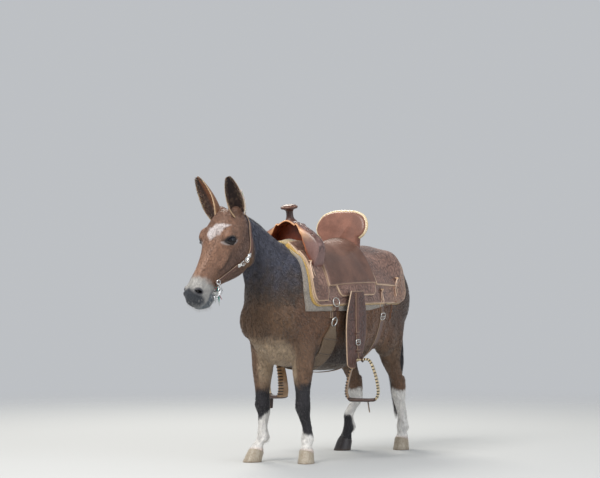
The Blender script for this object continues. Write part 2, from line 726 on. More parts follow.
def sculpt_body(points):
    """How far each point of the skin moves out, for muscles, tendons and folds of the body."""
    side = np.stack([np.abs(points[:, 0]), points[:, 1], points[:, 2]], axis=1)
    move = np.zeros(len(points))
    # Neck vein, shoulder, upper arm, elbow, breast, forearm, flank fold, hamstring and thigh.
    for line, width, height in (
            (((0.05, -0.452, 0.700), (0.055, -0.420, 0.620), (0.060, -0.400, 0.560)), 0.013, -0.0040),
            (((0.080, -0.300, 0.770), (0.110, -0.350, 0.660), (0.110, -0.385, 0.565)), 0.014, -0.0030),
            (((0.120, -0.235, 0.640), (0.125, -0.262, 0.560), (0.120, -0.300, 0.500)), 0.013, -0.0034),
            (((0.130, -0.225, 0.480), (0.125, -0.260, 0.440)), 0.012, -0.0040),
            (((0.000, -0.470, 0.600), (0.000, -0.460, 0.500), (0.000, -0.420, 0.430)), 0.011, -0.0060),
            (((0.050, -0.440, 0.450), (0.100, -0.400, 0.455)), 0.010, -0.0030),
            (((0.135, 0.190, 0.600), (0.130, 0.215, 0.520), (0.120, 0.235, 0.450)), 0.012, -0.0048),
            (((0.115, 0.375, 0.640), (0.115, 0.395, 0.540), (0.100, 0.400, 0.450)), 0.010, -0.0032),
            (((0.120, 0.300, 0.560), (0.125, 0.330, 0.470)), 0.016, -0.0022)):
        d = line_distance(side, line)
        move += height * np.exp(-(d / width) ** 2)
    move += 0.0040 * bump_at(side, (0.112, 0.205, 0.715), (0.03, 0.026, 0.022))    # hip
    ribs = np.sin((points[:, 1] + 0.35 * points[:, 2]) * math.tau / 0.040)
    inside = smoothstep(points[:, 1], -0.16, -0.06) * (1 - smoothstep(points[:, 1], 0.06, 0.15))
    inside *= smoothstep(points[:, 2], 0.37, 0.45) * (1 - smoothstep(points[:, 2], 0.60, 0.70))
    move += 0.0006 * ribs * inside
    for kind, _, sign, joints in LEGS:
        mine = (points[:, 0] * sign > 0.01) & (np.abs(points[:, 1] - joints["fetlock"]) < 0.16)
        x = np.abs(np.abs(points[:, 0]) - LEG_OUT)
        z, y = points[:, 2], points[:, 1]
        high = joints.get("knee", joints.get("hock"))
        axis = joints["fetlock"] + (high - joints["fetlock"]) * np.clip((z - 0.10) / 0.10, 0, 1)
        cannon = smoothstep(z, 0.100, 0.118) * (1 - smoothstep(z, 0.168, 0.192))
        groove = np.exp(-((y - axis - 0.0055) / 0.0042) ** 2) * smoothstep(x, 0.006, 0.013)
        move += np.where(mine, -0.0024 * cannon * groove, 0)
        band = np.exp(-((z - 0.046 - (joints["coronet"] - y) * 0.34) / 0.0035) ** 2)
        move += np.where(mine & (z < 0.08), 0.0010 * band, 0)
        pastern = np.exp(-((z - 0.066) / 0.008) ** 2) * smoothstep(y - joints["coronet"], 0.010, 0.020)
        move += np.where(mine & (z < 0.09), -0.0016 * pastern, 0)
        if kind == "fore":
            line = ((LEG_OUT, high - 0.030, 0.226), (LEG_OUT + 0.024, high - 0.012, 0.226))
            inner = ((LEG_OUT, high - 0.030, 0.212), (LEG_OUT - 0.024, high - 0.012, 0.214))
            for run in (line, inner):
                d = line_distance(np.where(mine[:, None], side, 9.0), run)
                move += -0.0012 * np.exp(-(d / 0.0045) ** 2)
        else:
            run = ((LEG_OUT + 0.022, high + 0.014, 0.290), (LEG_OUT + 0.022, high + 0.000, 0.340),
                   (LEG_OUT + 0.022, high - 0.012, 0.380))
            d = line_distance(np.where(mine[:, None], side, 9.0), run)
            move += -0.0052 * np.exp(-(d / 0.010) ** 2)
            twin = tuple((2 * LEG_OUT - p[0], p[1], p[2]) for p in run)
            d = line_distance(np.where(mine[:, None], side, 9.0), twin)
            move += -0.0045 * np.exp(-(d / 0.010) ** 2)
    return move


def mouth_route(tree):
    route = []
    steps = 44
    for k in range(steps + 1):
        swing = math.pi * (k / steps) - math.pi / 2
        back = 1.0 - math.cos(swing)
        down = MOUTH_FRONT + (MOUTH_CORNER - MOUTH_FRONT) * back
        inward = MOUTH_FRONT_IN + (MOUTH_CORNER_IN - MOUTH_FRONT_IN) * back
        centre = head_point(min(down, MOUTH_TURN), inward, 0)
        ray = (LEFT * math.sin(swing) + FACE * max(0.0, math.cos(swing)) * 1.3).normalized()
        if down < MOUTH_TURN:
            ray = LEFT * math.copysign(1, swing)
        hit = tree.ray_cast(centre + ray * 0.12, -ray, 0.2)[0]
        if hit is not None:
            route.append(hit)
    return route


def build_skin():
    skin = flesh()
    ahead = Vector(HEAD_CUT[1]).normalized()
    split_faces(skin, lambda c: (c - HEAD_CUT[0]).dot(ahead) > -0.02)
    place = points_of(skin.data)
    on_head = smoothstep(past_cut(place), -0.01, 0.01)
    place = smoothed(skin.data, place, on_head, 3)
    set_points(skin.data, place)
    tree = tree_of(skin)
    mouth = mouth_route(tree)
    normals = normals_of(skin.data)
    move = on_head * sculpt_head(place) + (1 - on_head) * sculpt_body(place)
    line = [np.array(p) for p in mouth[::2]]
    gap = line_distance(place, line)
    move += on_head * (0.0010 * np.exp(-((gap - 0.0050) / 0.0026) ** 2)
                       - 0.0012 * np.exp(-(gap / 0.0022) ** 2))
    place = place + normals * (move - COAT_DEPTH)[:, None]
    set_points(skin.data, place)
    for _, _, sign, joints in LEGS:
        point, normal = coronet_top(joints["coronet"], 0.0002)
        cut_below(skin, Vector((sign * LEG_OUT, point.y, point.z)), normal)
    for sign in (1, -1):
        centre, out, along, across = eye_axes(sign)
        rim = tube_mesh("rim", lid_line(sign, 1.07, EYE_RADIUS + 0.0012)[:-1], 0.0016, 10, closed=True)
        boolean(skin, rim, "UNION")
        plug = []
        for reach, scale in ((-0.004, 0.92), (0.04, 1.05)):
            ring = []
            for t in turns(44):
                c, s = math.cos(t), math.sin(t)
                rise = math.copysign((EYE_HIGH if s > 0 else EYE_LOW) * abs(s) ** 1.15, s)
                ring.append(centre + out * reach + along * (EYE_LONG * scale * c) + across * (rise * scale))
            plug.append(ring)
        boolean(skin, loft("almond", plug), "DIFFERENCE")
        boolean(skin, ellipsoid("socket", centre, [EYE_RADIUS + 0.0001] * 3, rings=40), "DIFFERENCE")
        nose = head_point(NOSTRIL_DOWN, NOSTRIL_IN, sign * NOSTRIL_OUT)
        face_out = (LEFT * sign * 0.80 + FACE * 0.35 - JAW * 0.35).normalized()
        slant = JAW * 0.9 - FACE * 0.35
        slant = (slant - face_out * slant.dot(face_out)).normalized()
        across_nose = face_out.cross(slant)
        for shift, back, radii in ((0.005, 0, (0.0170, 0.0115, 0.0060)),
                                   (0.009, 0.008, (0.0120, 0.0062, 0.0050)),
                                   (-0.006, 0, (0.0120, 0.0080, 0.0052))):
            place = nose + face_out * shift - slant * back
            boolean(skin, ellipsoid("nostril", place, radii, (face_out, slant, across_nose), 24),
                    "DIFFERENCE")
    boolean(skin, tube_mesh("mouth", mouth, 0.0013, 8), "DIFFERENCE")
    return keep_largest(skin)


def cut_below(obj, point, normal):
    """Cuts a foot off at a plane."""
    a = normal.orthogonal().normalized()
    b = normal.cross(a)
    rings = [circle(point + normal * k, a * 0.07, b * 0.07, 8) for k in (-0.08, 0.0)]
    boolean(obj, loft("block", rings), "DIFFERENCE")


WHITE = srgb(236, 234, 230)
BLACK_HAIR = srgb(44, 42, 47)
BROWN = srgb(107, 80, 60)
CHESTNUT = srgb(118, 82, 58)
SLATE = srgb(66, 70, 86)
DARK_BROWN = srgb(66, 54, 47)
FACE_BROWN = srgb(134, 100, 80)
DARK_FACE = srgb(80, 64, 60)
GREY_NOSE = srgb(166, 164, 160)
NOSE_SKIN = srgb(34, 40, 50)
TAN = srgb(178, 156, 130)


def plain(colour, points):
    """The same colour for each of the points."""
    return np.tile(np.array(colour), (len(points), 1))


def mixed(colour, other, share):
    share = np.clip(share, 0, 1)[:, None]
    return colour * (1 - share) + np.array(other) * share


def coat_colour(points):
    """The markings: linear colours at points on the skin."""
    x, y, z = points.T
    coarse = lattice_noise(points, 14, 1)
    fine = lattice_noise(points, 70, 2)
    ragged = (coarse - 0.5) * 0.6 + (fine - 0.5) * 0.8
    colour = plain(BROWN, points)
    colour = mixed(colour, CHESTNUT, smoothstep(np.abs(x), 0.08, 0.15) * 0.6 + 0.3 * (coarse - 0.3))
    top = smoothstep(z, 0.62, 0.80)
    colour = mixed(colour, DARK_BROWN, top * 0.55)
    belly = smoothstep(0.44 - z, 0.0, 0.08) * smoothstep(y, -0.24, -0.10) * (1 - smoothstep(y, 0.2, 0.3))
    colour = mixed(colour, srgb(48, 42, 42), belly * 0.65)
    # The neck is slate above and dark brown below, down to the shoulder.
    neck = smoothstep(-y + 0.62 * (z - 0.60), 0.315, 0.40) * smoothstep(z + 0.15 * ragged, 0.50, 0.62)
    colour = mixed(colour, DARK_BROWN, neck * 0.9)
    slate = neck * smoothstep(z + 0.10 * ragged, 0.60, 0.76)
    streaks = lattice_noise(points * (1.0, 0.6, 0.12), 130, 7)
    colour = colour * (1 - neck[:, None] * 0.35 * smoothstep(streaks, 0.45, 0.8)[:, None])
    colour = mixed(colour, SLATE, slate * 0.85)
    chest = smoothstep(-y, 0.36, 0.44) * (1 - smoothstep(z, 0.52, 0.66)) * smoothstep(z, 0.36, 0.44)
    colour = mixed(colour, srgb(96, 73, 52), chest * 0.7)
    thigh = smoothstep(y, 0.10, 0.38) * smoothstep(z, 0.36, 0.55)
    colour = mixed(colour, srgb(68, 60, 58), thigh * 0.75)
    colour = leg_colour(points, colour, ragged)
    on_head = smoothstep(past_cut(points), -0.035, 0.012)
    face = head_colour(points, coarse, fine)
    colour = colour * (1 - on_head[:, None]) + face * on_head[:, None]
    return colour * (0.90 + 0.2 * fine)[:, None]


def leg_colour(points, colour, ragged):
    x, y, z = points.T
    left, low = x > 0, z < 0.49
    fore, hind = y < 0.02, y >= 0.02
    inner = 1 - smoothstep(np.abs(x), 0.070, 0.092)
    tan = low * smoothstep(z, 0.24, 0.34) * (1 - smoothstep(z, 0.42, 0.48))
    colour = mixed(colour, TAN, tan * np.where(fore, inner * 0.8 + 0.1, 0))
    dark_back = low * fore * smoothstep(z, 0.24, 0.30) * (1 - smoothstep(z, 0.40, 0.46))
    colour = mixed(colour, srgb(60, 50, 46), dark_back * smoothstep(y, -0.30, -0.27) * 0.8)
    edge = 0.030 * ragged
    for mine, high, white in ((fore & ~left, 0.262, 0.156), (fore & left, 0.292, 0.106)):
        black = mine * (1 - smoothstep(z + edge, high - 0.018, high + 0.018))
        colour = mixed(colour, BLACK_HAIR, black)
        rise = 0.020 * smoothstep(np.abs(x), 0.085, 0.060)
        colour = mixed(colour, WHITE, mine * (1 - smoothstep(z + edge - rise, white - 0.006, white + 0.006)))
    gaskin = hind * low * smoothstep(z, 0.24, 0.36) * (1 - smoothstep(z, 0.38, 0.48))
    colour = mixed(colour, srgb(96, 76, 56), gaskin * 0.6)
    behind = smoothstep(y, 0.400, 0.440)
    sock = hind & left
    colour = mixed(colour, WHITE, sock * (1 - smoothstep(z + edge - 0.035 * behind, 0.228, 0.240)))
    sock = hind & ~left
    colour = mixed(colour, WHITE, sock * (1 - smoothstep(z + edge, 0.236, 0.250)))
    front = y - HIND["right"]["fetlock"] + 0.35 * (x + LEG_OUT)
    reach = 0.004 - 0.10 * np.clip(z - 0.085, 0, 1) * 2.2
    black = sock * (1 - smoothstep(front + 0.006 * ragged, reach - 0.004, reach + 0.006))
    black *= 1 - smoothstep(z + edge * 0.4, 0.138, 0.150)
    colour = mixed(colour, BLACK_HAIR, black)
    pink = (1 - smoothstep(z, 0.045, 0.060)) * (~(hind & ~left))
    return mixed(colour, srgb(214, 178, 158), pink * 0.45)


STAR = ((0.060, 0.054), (0.077, 0.048), (0.105, 0.037), (0.122, 0.022), (0.135, -0.001), (0.108, -0.020),
        (0.083, -0.020), (0.0745, 0.002))


def head_colour(points, coarse, fine):
    down, inward, out = head_coords(points)
    side = np.abs(out)
    ragged = (coarse - 0.5) * 0.5 + (fine - 0.5)
    colour = plain(FACE_BROWN, points)
    colour = mixed(colour, DARK_FACE, smoothstep(0.10 - down, -0.02, 0.09) * 0.35)
    colour = mixed(colour, DARK_FACE, smoothstep(inward, 0.045, 0.11) * (1 - smoothstep(down, 0.20, 0.26))
                   * 0.62)
    jowl = smoothstep(inward, 0.11, 0.16) * (1 - smoothstep(down, 0.12, 0.17))
    colour = mixed(colour, srgb(132, 98, 62), jowl * 0.6)
    crest = line_distance(np.stack([down, inward, side], axis=1),
                          ((0.130, 0.068, 0.055), (0.175, 0.078, 0.048), (0.215, 0.070, 0.040)))
    colour = mixed(colour, srgb(58, 44, 40), np.exp(-(crest / 0.010) ** 2) * 0.6)
    bridge = (1 - smoothstep(side, 0.008, 0.024)) * (1 - smoothstep(inward, 0.01, 0.03))
    colour = mixed(colour, srgb(166, 130, 108), bridge * smoothstep(down, 0.13, 0.20) * 0.5)
    # Muzzle: grey-white with a dark tip, and slate-grey lips.
    grey = smoothstep(down + 0.012 * ragged + 0.10 * (inward - 0.05), 0.262, 0.292)
    colour = mixed(colour, GREY_NOSE, grey)
    tip = smoothstep(down + 0.012 * ragged - 0.35 * side, 0.318, 0.336)
    tip = tip * (1 - smoothstep(inward, 0.045, 0.075))
    colour = mixed(colour, srgb(96, 106, 116), smoothstep(down + 0.02 * ragged, 0.330, 0.352) * 0.5)
    colour = mixed(colour, NOSE_SKIN, tip * 0.9)
    chin = smoothstep(down, 0.285, 0.315) * smoothstep(inward, 0.066, 0.080)
    colour = mixed(colour, srgb(80, 92, 102), chin * 0.85)
    local = np.stack([down, inward, side], axis=1)
    nostril = nostril_distance(local, (1, 0.75, 0.8))
    colour = mixed(colour, srgb(40, 40, 46), 1 - smoothstep(nostril, 0.010, 0.0165))
    # The star on the forehead.
    star = star_share(down, out, inward, ragged)
    colour = mixed(colour, srgb(214, 208, 208), star * (0.62 + 0.5 * np.clip(fine - 0.2, 0, 1)))
    for sign in (1, -1):
        near, reach, b = round_eye(points, sign)
        colour = mixed(colour, srgb(168, 160, 158), near * (1 - smoothstep(reach, 1.5, 1.95)) * (b < 0)
                       * 0.75)
        colour = mixed(colour, srgb(52, 42, 40), near * (1 - smoothstep(reach, 1.4, 1.8)) * (b >= 0) * 0.7)
        colour = mixed(colour, srgb(18, 16, 20), near * (1 - smoothstep(reach, 1.22, 1.42)) * 0.95)
    return colour


def star_share(down, out, inward, ragged):
    """How far inside the star's outline each point is."""
    inside = np.zeros(len(down), bool)
    edge = np.full(len(down), 9.0)
    pts = list(STAR)
    for (a0, b0), (a1, b1) in zip(pts, pts[1:] + pts[:1]):
        crosses = ((b0 > out) != (b1 > out)) & (down < (a1 - a0) * (out - b0) / (b1 - b0 + 1e-12) + a0)
        inside ^= crosses
        run = np.array((a1 - a0, b1 - b0))
        t = np.clip(((down - a0) * run[0] + (out - b0) * run[1]) / (run @ run), 0, 1)
        edge = np.minimum(edge, np.hypot(down - a0 - t * run[0], out - b0 - t * run[1]))
    signed = np.where(inside, edge, -edge) + 0.013 * ragged - 0.001
    return smoothstep(signed, -0.004, 0.005) * (inward < 0.05) * (0.75 + 0.25 * np.clip(edge / 0.01, 0, 1))


def tint(mesh, colours, name="tint"):
    """Stores a colour on each vertex."""
    attribute = mesh.color_attributes.get(name)
    if attribute is None:
        attribute = mesh.color_attributes.new(name=name, type="FLOAT_COLOR", domain="POINT")
    values = np.ones((len(mesh.vertices), 4), np.float32)
    values[:, :3] = colours
    attribute.data.foreach_set("color", values.ravel())


def node(tree, kind, inputs=None, **settings):
    made = tree.nodes.new(kind)
    for key, value in settings.items():
        setattr(made, key, value)
    for key, value in (inputs or {}).items():
        if isinstance(value, bpy.types.NodeSocket):
            tree.links.new(value, made.inputs[key])
        else:
            made.inputs[key].default_value = value
    return made


class Finish:
    """A Principled material whose colour and bump are built up from procedural nodes."""

    def __init__(self, name, rough=0.6, metal=0.0, specular=0.5, coat=0.0, sheen=0.0):
        self.mat = bpy.data.materials.new(name)
        self.mat.use_nodes = True
        self.tree = self.mat.node_tree
        self.shader = self.tree.nodes["Principled BSDF"]
        self.shader.inputs["Roughness"].default_value = rough
        self.shader.inputs["Metallic"].default_value = metal
        self.shader.inputs["Specular IOR Level"].default_value = specular
        self.shader.inputs["Coat Weight"].default_value = coat
        self.shader.inputs["Sheen Weight"].default_value = sheen
        self.where = self.node("ShaderNodeTexCoord").outputs["Object"]
        self.bumps = None

    def node(self, kind, inputs=None, **settings):
        return node(self.tree, kind, inputs, **settings)

    def attribute(self, name):
        return self.node("ShaderNodeAttribute", attribute_name=name)

    def tint(self):
        return self.attribute("tint").outputs["Color"]

    def noise(self, scale, detail, stretch=(1, 1, 1)):
        place = self.node("ShaderNodeMapping", {"Vector": self.where, "Scale": stretch})
        return self.node("ShaderNodeTexNoise", {"Vector": place.outputs[0], "Scale": scale, "Detail": detail,
                                                "Roughness": 0.55}).outputs["Fac"]

    def math(self, how, a, b=0.0, clamp=False):
        return self.node("ShaderNodeMath", {0: a, 1: b}, operation=how, use_clamp=clamp).outputs[0]

    def ramp(self, value, low, high, to_low=0.0, to_high=1.0):
        return self.node("ShaderNodeMapRange", {"Value": value, "From Min": low, "From Max": high,
                                                "To Min": to_low, "To Max": to_high},
                         interpolation_type="SMOOTHSTEP").outputs[0]

    def mix(self, share, a, b, blend="MIX"):
        made = self.node("ShaderNodeMix", data_type="RGBA", blend_type=blend)
        for index, value in ((0, share), (6, a), (7, b)):
            if isinstance(value, bpy.types.NodeSocket):
                self.tree.links.new(value, made.inputs[index])
            elif index:
                made.inputs[index].default_value = (*value[:3], 1.0)
            else:
                made.inputs[index].default_value = value
        return made.outputs[2]

    def times(self, a, b):
        return self.mix(1.0, a, b, "MULTIPLY")

    def less(self, a, b):
        return self.math("SUBTRACT", a, b)

    def product(self, a, b, clamp=False):
        return self.math("MULTIPLY", a, b, clamp)

    def cells(self, place, scale, feature="F1"):
        return self.node("ShaderNodeTexVoronoi", {"Vector": place, "Scale": scale}, feature=feature,
                         voronoi_dimensions="2D").outputs["Distance"]

    def bump(self, height, strength, distance):
        inputs = {"Height": height, "Strength": strength, "Distance": distance}
        if self.bumps is not None:
            inputs["Normal"] = self.bumps
        self.bumps = self.node("ShaderNodeBump", inputs).outputs[0]

    def colour(self, socket):
        if isinstance(socket, bpy.types.NodeSocket):
            self.tree.links.new(socket, self.shader.inputs["Base Color"])
        else:
            self.shader.inputs["Base Color"].default_value = (*socket[:3], 1.0)

    def rough(self, socket):
        self.tree.links.new(socket, self.shader.inputs["Roughness"])

    def done(self):
        if self.bumps is not None:
            self.tree.links.new(self.bumps, self.shader.inputs["Normal"])
        return self.mat


def coat_material(name, rough=0.5, bump=0.6, specular=0.35):
    """Hair: the painted tint with fine streaks along the legs and trunk."""
    f = Finish(name, rough, specular=specular, sheen=0.12)
    f.shader.inputs["Sheen Roughness"].default_value = 0.45
    streak = f.noise(260, 4.0, (1.0, 0.35, 0.35))
    patch = f.noise(22, 3.0)
    base = f.tint()
    low = f.times(base, (0.78, 0.78, 0.79))
    high = f.times(base, (1.14, 1.13, 1.12))
    both = f.mix(f.ramp(streak, 0.30, 0.70), low, high)
    f.colour(f.mix(f.ramp(patch, 0.35, 0.75, 0.0, 0.25), both, f.times(both, (0.8, 0.78, 0.78))))
    f.bump(streak, bump, 0.0012)
    f.bump(f.noise(1100, 2.0, (1.0, 0.4, 0.4)), bump * 0.6, 0.0004)
    return f.done()


def joined(name, objects):
    """One object of several loose helpers, with their colours and maps kept."""
    objects = [o for o in objects if o is not None]
    bpy.ops.object.select_all(action="DESELECT")
    for obj in objects:
        obj.select_set(True)
    bpy.context.view_layer.objects.active = objects[0]
    if len(objects) > 1:
        bpy.ops.object.join()
    made = bpy.context.view_layer.objects.active
    made.name = name
    made.data.name = name
    return made


PIECES = []


def finished(obj, name, mat, nodes, smooth=40):
    """Names a piece, gives it its material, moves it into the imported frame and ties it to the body."""
    obj.name = name
    obj.data.name = name
    if mat is not None:
        obj.data.materials.clear()
        obj.data.materials.append(mat)
    obj.data.shade_smooth()
    if smooth:
        obj.data.set_sharp_from_angle(angle=math.radians(smooth))
    obj.data.transform(Matrix.Translation(SHIFT))
    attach(obj, "root")
    if nodes:
        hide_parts(*nodes)
    PIECES.append(obj)
    return obj


def eye_material():
    f = Finish("eyeball", 0.13, specular=0.3, coat=0.05)
    f.shader.inputs["Coat Roughness"].default_value = 0.02
    place = f.tint()
    f.colour(f.mix(f.ramp(f.noise(320, 3), 0.4, 0.7, 0.0, 0.35), place, (0.004, 0.004, 0.006)))
    return f.done()


def build_eyes():
    mat = eye_material()
    for side, sign in SIDES:
        centre, out, along, across = eye_axes(sign)
        ball = ellipsoid("eye", centre, [EYE_RADIUS - 0.0002] * 3, (along, across, out), rings=44)
        rel = points_of(ball.data) - np.array(centre)
        a, b = rel @ np.array(along), rel @ np.array(across)
        pupil = np.hypot(a / 0.0095, b / 0.0048)
        iris = np.hypot(a, b) / 0.0155
        colour = plain(srgb(30, 20, 18), rel)
        colour = mixed(colour, srgb(22, 28, 44), smoothstep(b, -0.004, 0.009) * 0.85)
        colour = mixed(colour, srgb(8, 8, 14), 1 - smoothstep(pupil, 0.85, 1.1))
        colour = mixed(colour, srgb(46, 36, 34), smoothstep(iris, 0.95, 1.05) * 0.8)
        tint(ball.data, colour)
        finished(ball, f"eye_{side}_ball", mat, (f"eye_{side}",), 0)


def hoof_material():
    f = Finish("hoof horn", 0.42, specular=0.4)
    base = f.tint()
    height = f.node("ShaderNodeSeparateXYZ", {0: f.where}).outputs[2]
    bands = f.math("SINE", f.product(height, 1300.0))
    streak = f.noise(420, 3.0, (1, 1, 0.06))
    shade = f.mix(f.ramp(streak, 0.3, 0.7), f.times(base, (0.70, 0.66, 0.62)), base)
    f.colour(f.mix(f.ramp(bands, -1, 1, 0.0, 0.14), shade, f.times(base, (0.6, 0.55, 0.5))))
    f.bump(bands, 0.25, 0.0004)
    f.bump(streak, 0.3, 0.0004)
    return f.done()


def build_hooves():
    mat = hoof_material()
    for kind, side, sign, joints in LEGS:
        x = sign * LEG_OUT
        point, normal = coronet_top(joints["coronet"], -CUT_GAP)
        rings = []
        stops = ((0.0, 0.90), (0.0, 0.985), (0.0012, 1.0), (0.10, 1.0), (0.30, 1.0), (0.5, 1.0), (0.7, 1.0),
                 (0.86, 1.0), (0.93, 1.004), (1.0, 0.985), (1.0, 0.80))
        for level, grow in stops:
            share = 0.0 if level < 0.002 else level
            y = joints["hoof"] + (joints["coronet"] - joints["hoof"]) * share
            wide = (HOOF_WIDE + (0.0265 - HOOF_WIDE) * share) * grow
            toe = (HOOF_TOE + (0.0290 - HOOF_TOE) * share) * grow
            heel = (HOOF_HEEL + (0.0265 - HOOF_HEEL) * share) * grow
            ring = [turned(side, joints, 0, v) for v in
                    section(Vector((x, y, 0)), Vector((wide, 0, 0)), ALONG * heel, -ALONG * toe, 48)]
            for v in ring:
                top = point.z - (v.y - point.y) * normal.y / normal.z
                v.z = level if level < 0.01 else top * share + 0.0012 * (1 - share)
            rings.append(ring)
        obj = loft("hoof", rings)
        place = points_of(obj.data)
        black = kind == "hind" and side == "right"
        base = srgb(60, 56, 58) if black else srgb(178, 166, 148)
        colour = plain(base, place)
        streaks = lattice_noise(place * (1, 1, 0.1), 120, 4)
        colour = mixed(colour, srgb(204, 196, 180) if not black else srgb(78, 74, 76),
                       smoothstep(streaks, 0.4, 0.8) * 0.6)
        colour = mixed(colour, srgb(108, 88, 66), smoothstep(0.010 - place[:, 2], 0, 0.010) * 0.45)
        tint(obj.data, colour)
        finished(obj, f"horn_{kind}_{side}", mat, (f"hoof_{kind}_{side}",), 50)


def build_ears():
    mat = coat_material("ear hair", 0.62, 0.5, 0.2)
    made = []
    for side, sign in SIDES:
        spec = EARS[side]
        out, down, inward = spec["root"]
        root = head_point(down, inward, sign * out)
        ahead, outward, up = spec["reach"]
        tip = root + AHEAD * ahead + LEFT * (sign * outward) + UP * up
        axis = tip - root
        length = axis.length
        axis.normalize()
        front, sidewards = spec["opens"]
        opens = AHEAD * front + LEFT * (sign * sidewards)
        opens = (opens - axis * opens.dot(axis)).normalized()
        across = axis.cross(opens)
        columns = 30
        rows = [row for row in smooth_rows(EAR_ROWS, 5) if row[0] > 0.10 or side == "right"]
        inner, outer, marks = [], [], []
        for along, radius, close in rows:
            bow = 0.010 * math.sin(math.pi * min(1, along))
            spine = root + axis * (length * along) - opens * bow
            row_in, row_out, row_mark = [], [], []
            for k in range(columns + 1):
                share = 2 * k / columns - 1
                turn = math.radians(max(close, 4)) * share
                wall = 0.0017 * (1 - 0.55 * abs(share) ** 4) * (1 - 0.4 * smooth1(along, 0.8, 1.0))
                if k in (0, columns):
                    wall *= 0.35
                ring = opens * -math.cos(turn) + across * math.sin(turn)
                middle = spine + opens * radius
                row_in.append(middle + ring * (radius - wall))
                row_out.append(middle + ring * (radius + wall))
                row_mark.append((along, share))
            inner.append(row_in)
            outer.append(row_out)
            marks.append(row_mark)
        made.append((side, inner, axis, opens))
        obj = slab_fine("ear", inner, outer)
        marks = np.array([m for row in marks for m in row])
        along, share = np.tile(marks[:, 0], 2), np.tile(marks[:, 1], 2)
        is_in = np.repeat([1.0, 0.0], len(marks))
        place = points_of(obj.data)
        mottle = lattice_noise(place, 120, 6)
        colour = plain(srgb(120, 86, 64), place)
        colour = mixed(colour, srgb(54, 44, 42), smoothstep(along + 0.1 * (mottle - 0.5), 0.72, 0.92))
        inside = mixed(plain(srgb(74, 56, 48), place), srgb(40, 32, 32),
                       smoothstep(np.abs(share), 0.75, 0.2) * 0.8)
        inside = mixed(inside, srgb(140, 116, 98), smoothstep(mottle, 0.45, 0.8)
                       * smoothstep(0.75 - along, 0, 0.3) * 0.35)
        inside = mixed(inside, srgb(48, 38, 38), smoothstep(along, 0.72, 0.92))
        warm = smoothstep(share, -0.40, 0.05) if side == "right" else np.zeros(len(place))
        inside = mixed(inside, srgb(150, 98, 66), warm * 0.7)
        colour = colour * (1 - is_in[:, None]) + inside * is_in[:, None]
        rim = smoothstep(np.abs(share), 0.90, 0.98) * smoothstep(0.97 - along, 0, 0.12)
        colour = mixed(colour, srgb(214, 186, 150), rim * 0.9)
        if side == "left":
            pale = smoothstep(np.abs(share - 0.75), 0.4, 0.1) * (1 - is_in)
            pale = pale * (1 - smoothstep(along, 0.25, 0.5))
            colour = mixed(colour, srgb(206, 192, 176), pale * 0.4)
        tint(obj.data, colour)
        finished(obj, f"ear_{side}_cup", mat, (f"ear_{side}",), 0)
    return made


def smooth1(value, low, high):
    t = min(1.0, max(0.0, (value - low) / (high - low)))
    return t * t * (3 - 2 * t)


def slab_fine(name, inner, outer):
    """A closed sheet between two grids of points alike in size."""
    rows, columns = len(inner), len(inner[0])
    verts = [p for grid in (inner, outer) for row in grid for p in row]
    half = rows * columns
    faces = []
    for i in range(rows - 1):
        for k in range(columns - 1):
            a = i * columns + k
            b, c, d = a + 1, a + columns + 1, a + columns
            faces += [(a, b, c, d), (half + a, half + d, half + c, half + b)]
    rim = list(range(columns)) + [i * columns + columns - 1 for i in range(1, rows)]
    rim += [(rows - 1) * columns + k for k in range(columns - 2, -1, -1)]
    rim += [i * columns for i in range(rows - 2, 0, -1)]
    for i, a in enumerate(rim):
        b = rim[(i + 1) % len(rim)]
        faces.append((a, b, half + b, half + a))
    return mesh_object(name, verts, faces)


EDGE_REACH = 0.05       # the edge attribute runs from 0 at a rim to 1 this far in


class Cover:
    """What a layer is laid on: search trees of the layers below, of which the outermost counts."""

    def __init__(self, *trees):
        self.trees = list(trees)

    def radius(self, y, angle):
        turn = math.radians(angle)
        out = Vector((math.sin(turn), 0, math.cos(turn)))
        hub = Vector((0, y, TRUNK_AXIS_Z))
        best = 0.0
        for tree in self.trees:
            hit = tree.ray_cast(hub + out * 0.6, -out, 0.6)[0]
            if hit is not None:
                best = max(best, (hit - hub).length)
        return best

    def first(self, start, ray, reach):
        """The first place that a ray meets."""
        hits = [tree.ray_cast(start, ray, reach)[0] for tree in self.trees]
        hits = [h for h in hits if h is not None]
        return min(hits, key=lambda h: (h - start).length) if hits else None

    def add(self, obj):
        self.trees.append(tree_of(obj))
        return self


def rim_spread(start, end, count, rim):
    """Places between two ends that crowd at both."""
    sign = math.copysign(1, end - start)
    steps = (0.0, 0.12, 0.35, 0.65, 1.0)
    middle = end - start - 2 * sign * rim
    out = [start + sign * rim * s for s in steps]
    out += [start + sign * rim + middle * i / count for i in range(1, count)]
    return out + [end - sign * rim * s for s in reversed(steps)]


def eased(value, stops):
    """A value read off a smooth curve between (place, value) stops."""
    if value <= stops[0][0]:
        return stops[0][1]
    for (a, va), (b, vb) in zip(stops, stops[1:]):
        if value <= b:
            t = (value - a) / (b - a)
            return va + (vb - va) * t * t * (3 - 2 * t)
    return stops[-1][1]


def set_uv(mesh, values, name="lay"):
    """Stores a place on the sheet for each vertex."""
    layer = mesh.uv_layers.new(name=name)
    index = np.empty(len(mesh.loops), np.int32)
    mesh.loops.foreach_get("vertex_index", index)
    layer.data.foreach_set("uv", np.asarray(values, np.float32)[index].ravel())


def tint_edge(mesh, rims):
    """Stores each vertex's distance from the nearest rim."""
    tint(mesh, np.repeat(np.clip(rims / EDGE_REACH, 0, 1)[:, None], 3, 1), "edge")


